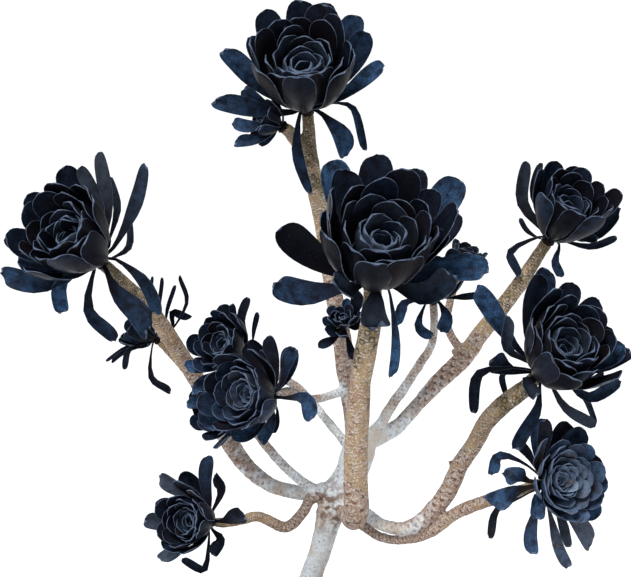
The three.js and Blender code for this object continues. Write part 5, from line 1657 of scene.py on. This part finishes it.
HEADS: list[Rosette] = [
    Rosette(
        "front", (55, -108, 617), (0.12, -0.65, 0.75),
        reach=116, wide=0.305, lift=67, count=46, turn=20, bloom_and_sheen=0.12, brown=0.1, powder=0.52, tiled=0.35,
        old=[
            Seen(-90, 54, 20, 8, 33, 0.75, 0, 0.02),
            Seen(-28, 112, -12, 14, 34, 0.5),
            Seen(-40, 121, -38, 12, 34, 0.3, 0, 0.8),
            Seen(5, 127, -28, 16, 36, 0.2),
            Seen(44, 113, -20, 16, 34, 0.3),
            Seen(84, 103, -30, 10, 34, 0.8, 0, 0.62),
            Seen(60, 92, 10, 14, 30, 0.3),
            Seen(83, 68, 12, 10, 30, 0.5),
            Seen(70, 48, 48, 8, 26, 0.2),
            Seen(-48, 69, 32, 12, 28, 0.1),
            Seen(-24, 34, 62, 14, 30, 0.1),
            Seen(14, 30, 68, 14, 30, 0.1),
            Seen(48, 30, 56, 12, 24, 0.2),
            Old([(-22, -10, 0), (-58, -16, -5), (-93, -18, 8)], 27, 50, 0.38),
            Old([(-12, -22, 4), (-26, -44, 2), (-38, -62, 16)], 22, 0, 0.25, 0.8, 0.15),
            Old([(-1, -18, 1), (1, -25, -13), (2, -22, -36)], 30, 0, 0.1, 1.15, 0.2),
            Old([(14, -14, 3), (23, -22, -44), (17, -16, -86)], 10, 60, 0.95, 1.1),
            Old([(18, -18, 4), (49, -40, 0), (79, -52, 15)], 27, -20, 0.2, 0.8, 0.15),
            Old([(28, -6, 5), (64, -14, 17), (108, -20, 12)], 28, 40, 0.9),
        ],
    ),
    Rosette(
        "rear_tall", (-8, 20, 770), (-0.05, -0.62, 0.78),
        reach=106, wide=0.325, lift=66, count=44, turn=75, bloom_and_sheen=0.1, brown=0.1, powder=0.5, tiled=0.3,
        old=[
            Seen(-44, 101, -10, 14, 30, 0.4),
            Seen(-7, 113, -26, 16, 34, 0.2),
            Seen(18, 110, -22, 16, 30, 0.2),
            Seen(49, 97, -18, 10, 28, 0.6, 0, 0.4),
            Seen(60, 78, 12, 10, 27, 0.6, 0, 0.3),
            Seen(-58, 72, 20, 12, 22, 0.2, 0, 0.3),
            Old([(-21, -8, 11), (-55, -18, 34), (-81, -24, 64)], 22, 10, 0.45),
            Old([(-17, -6, 1), (-55, -15, 4), (-90, -18, 15)], 21, 45, 0.35),
            Old([(17, -8, 9), (46, -12, 25), (77, -14, 45)], 18, 30, 0.8),
            Old([(17, -14, -2), (29, -20, -16), (38, -22, -41)], 21, 45, 0.85),
            Old([(25, 5, 8), (47, 5, 2), (56, 0, -38)], 9, 20, 0.35, 1.0),
            Old([(-8, -18, -2), (-12, -24, -35), (0, -22, -77)], 14, 40, 0.35),
        ],
    ),
    Rosette(
        "rear_tall_side", (-32, 12, 756), (-0.88, -0.24, 0.41),
        reach=36, wide=0.38, lift=50, count=18, turn=0, bloom_and_sheen=0.3,
        old=[
            Old([(-11, -2, 11), (-23, -6, 22), (-40, -6, 36)], 21, 20, 0.5),
            Old([(-15, -6, 3), (-31, -10, 2), (-49, -12, 6)], 14, 10, 0.6),
            Old([(-11, -6, -5), (-28, -10, -12), (-47, -12, -15)], 13, 20, 0.4),
            Old([(-9, 2, -8), (-15, 4, -14), (-24, 4, -18)], 9, 0, 0.4),
        ],
    ),
    Rosette(
        "left_long", (-211, -18, 623), (-0.52, -0.63, 0.58),
        reach=100, wide=0.31, lift=66, count=44, turn=40, bloom_and_sheen=0.12, brown=0.1, powder=0.48, tiled=0.35,
        old=[
            Seen(-40, 96, -14, 14, 30, 0.3),
            Seen(-76, 68, -6, 12, 28, 0.3),
            Seen(-95, 27, 10, 10, 28, 0.4),
            Seen(-82, 2, 24, 10, 26, 0.5, 0, 0.3),
            Seen(-12, 46, 44, 14, 24, 0.1),
            Seen(-36, 42, 56, 14, 24, 0.1),
            Seen(-58, 26, 56, 12, 24, 0.1),
            Seen(-68, 8, 46, 10, 22, 0.2),
            Old([(-2, 4, 23), (-5, 8, 58), (-21, 8, 96)], 16, 10, 0.06, 0.35, 0.3),
            Old([(1, 8, 27), (5, 12, 62), (-2, 12, 110)], 16, 10, 0.06, 0.35, 0.32),
            Old([(6, 14, 22), (15, 18, 53), (9, 18, 84)], 11, 50, 0.12, 0.8, 0.35),
            Old([(12, 2, 18), (32, 4, 52), (44, 6, 96)], 17, 30, 0.25, 0.8, 0.2),
            Old([(10, 8, 5), (26, 10, 16), (27, 8, 49)], 9, 40, 0.3, 0.8, 0.3),
            Old([(-17, -6, -3), (-57, -14, -18), (-98, -18, -5)], 22, 30, 0.42),
            Old([(-9, -14, -1), (-21, -26, -5), (-38, -34, -9)], 13, 0, 0.3, 0.8, 0.25),
            Old([(-15, -4, -3), (-38, -10, -17), (-44, -12, -46)], 17, 40, 0.95, 1.1),
            Old([(-8, -8, -5), (-13, -12, -46), (10, -14, -76)], 15, 50, 0.35, 1.0, 0.12),
            Old([(7, -24, -4), (22, -30, -29), (45, -28, -62)], 26, 0, 0.35, 1.15),
            Old([(15, -6, 5), (40, -12, -13), (54, -10, -48)], 15, -20, 0.4, 1.0),
        ],
    ),
    Rosette(
        "left_long_side", (-160, 44, 533), (-0.87, -0.12, 0.49),
        reach=46, wide=0.32, lift=60, count=20, turn=10, bloom_and_sheen=0.3,
        old=[
            Old([(0, 2, 16), (2, 4, 42), (5, 4, 64)], 5, 0),
            Old([(-4, 4, 16), (-7, 6, 41), (-6, 6, 65)], 4, 0),
            Old([(6, 4, 13), (10, 6, 33), (17, 6, 56)], 5, 0),
            Old([(11, 10, 7), (29, 12, 38), (22, 8, 66)], 5, 0),
            Old([(14, 14, 8), (14, 16, 27), (32, 14, 22)], 9, 0),
            Old([(-13, -2, -2), (-33, -4, -6), (-53, -4, -20)], 4, 0),
            Old([(-13, -8, -3), (-32, -12, -9), (-47, -12, -19)], 6, 0),
            Old([(-11, -10, -4), (-28, -16, -6), (-32, -18, -25)], 8, 0),
            Old([(-6, -8, -8), (-6, -12, -36), (12, -12, -50)], 9, 0, 0.1, 1.1),
        ],
    ),
    Rosette(
        "left_back", (-71, 4, 527), (-0.66, -0.61, 0.43),
        reach=58, wide=0.37, lift=62, count=34, turn=30, bloom_and_sheen=0.3, brown=0.1, powder=0.35, tiled=0.5,
        old=[
            Seen(-54, 10, 2, 8, 20, 0.3, 0, 0.9),
            Seen(-40, 34, -4, 8, 20, 0.3),
            Seen(-24, 49, -8, 8, 20, 0.2),
            Old([(2, 8, 13), (-3, 10, 33), (2, 10, 56)], 10, 20),
            Old([(7, 6, 11), (9, 8, 25), (14, 8, 41)], 6, 20),
            Old([(-5, 4, 14), (-11, 2, 32), (-12, 2, 51)], 8, 20),
            Old([(-15, -10, -2), (-35, -16, -9), (-59, -20, -6)], 14, 20, 0.8),
            Old([(-15, -6, -11), (-33, -10, -23), (-53, -12, -34)], 13, 10, 0.6),
        ],
    ),
    Rosette(
        "left_inner", (-41, -52, 495), (-0.66, -0.71, 0.23),
        reach=72, wide=0.36, lift=62, count=46, turn=55, bloom_and_sheen=0.38, brown=0.3, powder=0.55, tiled=0.7,
        old=[
            Seen(-26, 54, -10, 10, 26, 0.3),
            Seen(-52, 38, 0, 10, 26, 0.4),
            Seen(-74, -22, 10, 8, 26, 0.5, 0, 0.6),
            Seen(-40, -40, 14, 8, 26, 0.5, 0, 0.5),
            Seen(17, 34, 0, 6, 19, 0.8, 0, 0.5),
            Old([(0, 4, 11), (-1, 6, 36), (-6, 6, 60)], 15, 0, 0.12, 0.3),
            Old([(-4, -2, 13), (-5, -4, 30), (-13, -4, 48)], 9, 20),
            Old([(7, 2, 7), (12, 2, 21), (22, 0, 33)], 14, 20, 0.4),
            Old([(13, -10, 2), (30, -16, 1), (39, -18, -16)], 17, 20, 0.8, 0.9),
            Old([(-1, -4, -12), (-4, -8, -26), (-11, -8, -43)], 13, 20, 0.6),
            Old([(3, -2, -11), (3, -4, -24), (-3, -4, -35)], 8, 0),
            Old([(-12, -8, -14), (-24, -12, -28), (-46, -14, -32)], 16, 10, 0.7),
        ],
    ),
    Rosette(
        "left_middle", (-76, 8, 469), (-0.71, -0.70, 0.07),
        reach=56, wide=0.36, lift=60, count=36, turn=15, bloom_and_sheen=0.4, brown=0.5, powder=0.45, tiled=0.6,
        old=[
            Old([(-18, -6, 6), (-35, -10, 10), (-53, -12, 11)], 14, 0, 0.8),
        ],
    ),
    Rosette(
        "left_bottom", (-103, -54, 369), (-0.62, -0.76, 0.19),
        reach=60, wide=0.36, lift=64, count=44, turn=100, bloom_and_sheen=0.2, brown=0.1, powder=0.4, tiled=0.6,
        old=[
            Seen(-29, 49, -8, 8, 21, 0.3),
            Seen(-56, 18, 4, 8, 20, 0.4),
            Seen(-50, -10, 8, 8, 20, 0.4),
            Old([(-3, 2, 17), (-6, 4, 42), (-3, 4, 66)], 15, 0, 0.3, 0.3),
            Old([(2, 6, 13), (11, 8, 31), (5, 8, 47)], 13, 20),
            Old([(-17, 4, 16), (-32, 4, 30), (-51, 4, 46)], 16, 0, 0.12, 0.8, 0.35),
            Old([(-22, 4, 1), (-44, 2, -2), (-66, 0, -1)], 18, 0, 0.12, 0.8, 0.3),
            Old([(-17, 4, -15), (-32, 0, -25), (-50, 0, -39)], 15, 0, 0.12, 0.8, 0.35),
            Old([(-3, -6, -15), (-7, -8, -47), (-29, -8, -35)], 9, 0),
            Old([(2, -8, -8), (9, -12, -16), (2, -12, -31)], 13, 0),
            Old([(10, -12, 4), (20, -18, 9), (33, -20, 10)], 17, 0),
        ],
    ),
    Rosette(
        "right_inner", (118, 0, 582), (0.05, -0.58, 0.81),
        reach=54, wide=0.32, lift=60, count=32, turn=60, bloom_and_sheen=0.3, brown=0.1, powder=0.4, tiled=0.4,
        old=[
            Old([(-15, -6, 2), (-31, -10, 0), (-35, -10, -22)], 12, 40, 0.8, 1.0),
            Old([(-10, -10, -3), (-15, -14, -21), (-3, -14, -34)], 11, 0, 0.7, 1.0),
            Old([(7, -10, -2), (13, -14, -13), (6, -14, -27)], 15, 0, 0.9),
            Old([(15, -4, 4), (29, -6, 5), (44, -6, 8)], 8, 0),
        ],
    ),
    Rosette(
        "right_inner_side", (149, 66, 604), (0.31, -0.09, 0.95),
        reach=31, wide=0.42, lift=56, count=20, turn=0, bloom_and_sheen=0.3,
    ),
    Rosette(
        "right_upper", (237, 68, 632), (0.38, -0.52, 0.76),
        reach=84, wide=0.3, lift=68, count=42, turn=15, bloom_and_sheen=0.2, brown=0.1, powder=0.4, tiled=0.4,
        old=[
            Seen(8, 82, -10, 12, 24, 0.3),
            Seen(30, 76, -10, 12, 26, 0.2),
            Seen(57, 50, 6, 10, 24, 0.4),
            Old([(-7, 0, 14), (-27, 0, 41), (-23, 0, 82)], 14, 20, 0.08, 0.35, 0.25),
            Old([(-5, 4, 20), (-15, 6, 47), (-8, 6, 79)], 9, 30, 0.12, 0.8, 0.2),
            Old([(17, -6, 7), (44, -10, 9), (73, -12, 33)], 19, 10, 0.12, 0.8, 0.15),
            Old([(17, -2, 0), (43, -4, -5), (70, -4, 3)], 9, 20, 0.12, 0.8, 0.2),
            Old([(13, -10, 3), (27, -16, 8), (48, -20, 4)], 10, 0),
            Old([(-8, -4, 3), (-21, -6, 11), (-29, -6, 24)], 6, 0),
            Old([(-12, -10, 5), (-40, -14, -9), (-30, -14, -33)], 10, 30, 0.3),
            Old([(11, -12, -3), (7, -16, -19), (12, -16, -34)], 10, 0, 0.6),
        ],
    ),
    Rosette(
        "right_lower", (218, -63, 519), (0.44, -0.63, 0.64),
        reach=96, wide=0.325, lift=66, count=48, turn=130, bloom_and_sheen=0.15, brown=0.15, powder=0.46, tiled=0.45,
        old=[
            Seen(10, 105, -20, 12, 26, 0.4, 0, 0.35),
            Seen(37, 91, -20, 12, 28, 0.2),
            Seen(62, 74, -12, 12, 26, 0.3),
            Seen(74, 44, 6, 10, 26, 0.4),
            Seen(84, 28, 20, 8, 26, 0.5, 0, 0.6),
            Seen(0, 100, 8, 14, 26, 0.1),
            Seen(12, 24, 56, 14, 28, 0.1),
            Seen(52, 16, 50, 12, 24, 0.2),
            Old([(-18, -2, 26), (-38, -4, 54), (-61, -4, 85)], 21, 40, 0.95),
            Old([(-12, -14, 18), (-33, -24, 35), (-32, -30, 65)], 13, 20, 0.2, 0.8, 0.25),
            Old([(-20, -10, 7), (-36, -16, 12), (-47, -20, 16)], 23, 0, 0.2, 0.8, 0.1),
            Old([(-27, -20, 12), (-60, -28, 8), (-63, -30, -29)], 12, 20, 0.08, 1.0),
            Old([(-15, 6, 3), (-32, 10, -1), (-30, 10, -21)], 7, 0),
            Old([(-3, -16, 1), (-11, -28, -2), (-6, -34, -15)], 18, 0, 0.12, 0.8, 0.2),
            Old([(1, -12, -12), (-3, -18, -36), (-23, -20, -68)], 15, 20, 0.3, 1.0),
            Old([(14, -6, -9), (29, -10, -32), (55, -12, -50)], 12, 20, 0.12, 0.8, 0.3),
            Old([(26, 2, -8), (46, 3, -22), (58, 0, -47)], 7, 0, 0.12, 0.8, 0.2),
            Old([(27, -4, -4), (51, -8, -20), (82, -10, -6)], 14, 20, 0.4, 0.8, 0.15),
            Old([(21, -12, 0), (45, -18, -4), (63, -22, 7)], 7, 0, 0.12, 0.8, 0.3),
            Old([(28, 4, 5), (62, 4, 9), (91, 2, 24)], 21, 10),
        ],
    ),
    Rosette(
        "right_bottom", (225, -80, 415), (0.52, -0.81, 0.26),
        reach=62, wide=0.38, lift=54, count=60, turn=0, bloom_and_sheen=0.8, brown=1.0, powder=0.87, tiled=1.0,
        old=[
            Seen(25, 58, -16, 8, 24, 0.3),
            Seen(40, 52, -10, 8, 24, 0.4, 0, 0.3),
            Seen(56, 22, 0, 6, 24, 0.4),
            Seen(58, -10, 4, 6, 26, 0.4, 0, 1.0),
            Seen(54, -32, 4, 6, 24, 0.4, 0, 0.8),
            Seen(-3, 63, 0, 6, 20, 0.8, 0, 1.0),
            Old([(-1, 0, 18), (-2, -2, 38), (-1, -4, 63)], 15, 20),
            Old([(-8, 2, 14), (-17, 4, 29), (-26, 4, 42)], 11, 0),
            Old([(-18, 2, 18), (-44, 2, 26), (-53, 0, 9)], 12, 0, 0.8, 1.0),
            Old([(-17, -6, 4), (-27, -14, 11), (-40, -18, 14)], 19, 20, 1, 0.8, 0.15),
            Old([(-20, -12, -3), (-37, -20, -7), (-56, -24, -12)], 22, 20, 1, 0.8, 0.15),
            Old([(-1, -16, -9), (-8, -26, -11), (-9, -32, -27)], 18, 0, 0.9, 0.8, 0.15),
            Old([(-24, -4, -14), (-47, -6, -27), (-55, -6, -54)], 9, 30, 0.1, 1.0),
            Old([(-7, -6, -19), (-13, -8, -44), (-12, -8, -68)], 15, 0, 0.7, 0.8, 0.12),
            Old([(3, -4, -22), (11, -6, -52), (22, -6, -83)], 13, 20, 0.4, 1.0, 0.4),
            Old([(10, 2, -21), (17, 2, -41), (24, 2, -64)], 12, 20, 0.12, 0.8, 0.35),
            Old([(18, 2, -18), (31, 0, -38), (46, -2, -64)], 19, 0, 0.12, 0.8, 0.45),
        ],
    ),
    Rosette(
        "middle_side", (29, -20, 559), (-0.16, -0.54, 0.83),
        reach=26, wide=0.42, lift=50, count=16, turn=0, bloom_and_sheen=0.3, powder=0.1,
        old=[
            Seen(-22, 10, 8, 4, 10, 0.5, 0, 0.5),
            Seen(-20, -2, 12, 4, 13, 0.5, 0, 0.3),
            Seen(-26, -19, 12, 4, 11, 0.6, 0, 0.2),
            Seen(9, -32, 10, 4, 9, 0.6, 0, 0.1),
            Seen(-10, 17, 6, 4, 12, 0.4, 0, 0.1),
            Seen(14, 36, 10, 5, 14, 0.5, 0, 0.1),
            Seen(2, 29, -4, 4, 10, 0.5, 0, 0.9),
            Seen(18, 8, 12, 4, 14, 0.4, 0, 0.1),
            Seen(-5, -9, 20, 4, 14, 0.5, 0, 0.1),
        ],
    ),
]


# ------------------------------------------------------------------------------- studio


@dataclass
class Studio:
    """The plain floor, the white surroundings, the lights and the camera. Sizes are in metres."""

    floor_size: float = 80.0
    surround: Colour = (0.92, 0.96, 1.0)
    surround_strength: float = 0.36
    warm: Colour = (1.0, 0.98, 0.95)
    cool: Colour = (0.75, 0.87, 1.0)
    lamps_look_at: Triple = (0.0, 0.0, 0.5)

    def floor(self) -> None:
        """A flat white floor far larger than the view."""
        half = self.floor_size / 2 / MM
        edge = np.array([[-half, -half, 0], [half, -half, 0], [half, half, 0], [-half, half, 0]], dtype=float)
        floor = Skin(edge, np.array([[0, 1, 2, 3]])).object("studio_floor", Backdrop().material(), False)

    def surroundings(self) -> None:
        """A soft sky: white where the camera looks past the plant, dimmer as a light."""
        world = bpy.data.worlds.new("studio")
        bpy.context.scene.world = world
        world.use_nodes = True
        tree = world.node_tree
        seen = tree.nodes["Background"]
        seen.inputs["Color"].default_value = (1, 1, 1, 1)
        seen.inputs["Strength"].default_value = 1.0
        light = tree.nodes.new("ShaderNodeBackground")
        light.inputs["Color"].default_value = (*self.surround, 1)
        light.inputs["Strength"].default_value = self.surround_strength
        rays = tree.nodes.new("ShaderNodeLightPath")
        choose = tree.nodes.new("ShaderNodeMixShader")
        tree.links.new(rays.outputs["Is Camera Ray"], choose.inputs["Fac"])
        tree.links.new(light.outputs["Background"], choose.inputs[1])
        tree.links.new(seen.outputs["Background"], choose.inputs[2])
        tree.links.new(choose.outputs["Shader"], tree.nodes["World Output"].inputs["Surface"])

    def shine(self, name: str, data: bpy.types.Light, place: Triple, towards: Vector) -> None:
        """Puts a light at a place, turned so that it shines in the given direction."""
        lamp = bpy.data.objects.new(name, data)
        lamp.location = place
        lamp.rotation_euler = towards.to_track_quat("-Z", "Y").to_euler()
        bpy.context.scene.collection.objects.link(lamp)

    def lamp(self, name: str, place: Triple, power: float, size: float) -> None:
        """A square soft light that looks at the middle of the plant."""
        data = bpy.data.lights.new(name, "AREA")
        data.energy = power
        data.size = size
        data.color = self.cool
        self.shine(name, data, place, Vector(self.lamps_look_at) - Vector(place))

    def sun(self, name: str, towards: Triple, strength: float, angle: float) -> None:
        """A far light whose rays run in the given direction."""
        data = bpy.data.lights.new(name, "SUN")
        data.energy = strength
        data.angle = math.radians(angle)
        data.color = self.warm
        self.shine(name, data, (0, 0, 3), Vector(towards))

    def camera(self) -> None:
        """The camera at the photograph's viewing angle."""
        data = bpy.data.cameras.new("camera")
        data.sensor_width = SENSOR_WIDTH
        data.lens = SENSOR_WIDTH * CAMERA_DISTANCE / PHOTO_WIDTH
        data.clip_end = 200.0
        camera = bpy.data.objects.new("camera", data)
        x, y, z = CAMERA_TARGET
        camera.location = (
            x * MM,
            (y - CAMERA_DISTANCE * math.cos(VIEW_TILT)) * MM,
            (z + CAMERA_DISTANCE * math.sin(VIEW_TILT)) * MM,
        )
        camera.rotation_euler = (math.radians(90) - VIEW_TILT, 0, 0)
        bpy.context.scene.collection.objects.link(camera)
        bpy.context.scene.camera = camera

    def build(self) -> None:
        """Sets up the whole studio."""
        self.floor()
        self.surroundings()
        self.sun("key", (0.30, 0.50, -0.95), 3.2, 25)
        self.lamp("sky_left", (-2.4, -1.2, 2.6), 60, 2.4)
        self.lamp("sky_right", (2.6, -0.6, 1.8), 40, 2.0)
        self.camera()
        bpy.context.scene.view_settings.view_transform = "Standard"


# ------------------------------------------------------------------------------- the part


def main() -> None:
    """Builds the plant, its soil and pot and the studio, and hands them to the frame."""
    logging.basicConfig(level=logging.INFO, format="%(message)s")
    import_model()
    Studio().build()
    branches = {name: Branch(name, rows, *BARK_AGES[name]) for name, rows in BRANCHES.items()}
    wood = Wood(list(branches.values())).build()
    thicket = Thicket()
    thicket.add("wood", wood.points, wood.quads)
    stems = wood.object("trunk_and_branches", Bark().material())
    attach(stems, "root")
    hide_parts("stems")
    skin = LeafSkin().material()
    # The single leaves of all rosettes come first, because the photograph gives their places.
    single = [head.find_room(index, Habit.STRAY, thicket) for index, head in enumerate(HEADS)]
    spiral = [head.find_room(index, Habit.SPIRAL, thicket) for index, head in enumerate(HEADS)]
    for head, some, others in zip(HEADS, single, spiral):
        leaves = head.skin(some + others, branches[head.name])
        piece = leaves.object(f"leaves_{head.name}", skin)
        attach(piece, "root")
        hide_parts(f"rosette_{head.name}")
    pot = Pot()
    shell = pot.build().object("clay_pot", Clay().material())
    pot.drill(shell)
    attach(shell, "root")
    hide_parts("pot")
    soil = Soil(pot, branches["trunk"])
    ground = soil.build().object("potting_mix", Loam().material())
    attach(ground, "root")
    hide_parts("soil")
    stones = soil.grit().object("soil_grit", Grit().material(), False)
    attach(stones, "root")


if __name__ == "__main__":
    main()
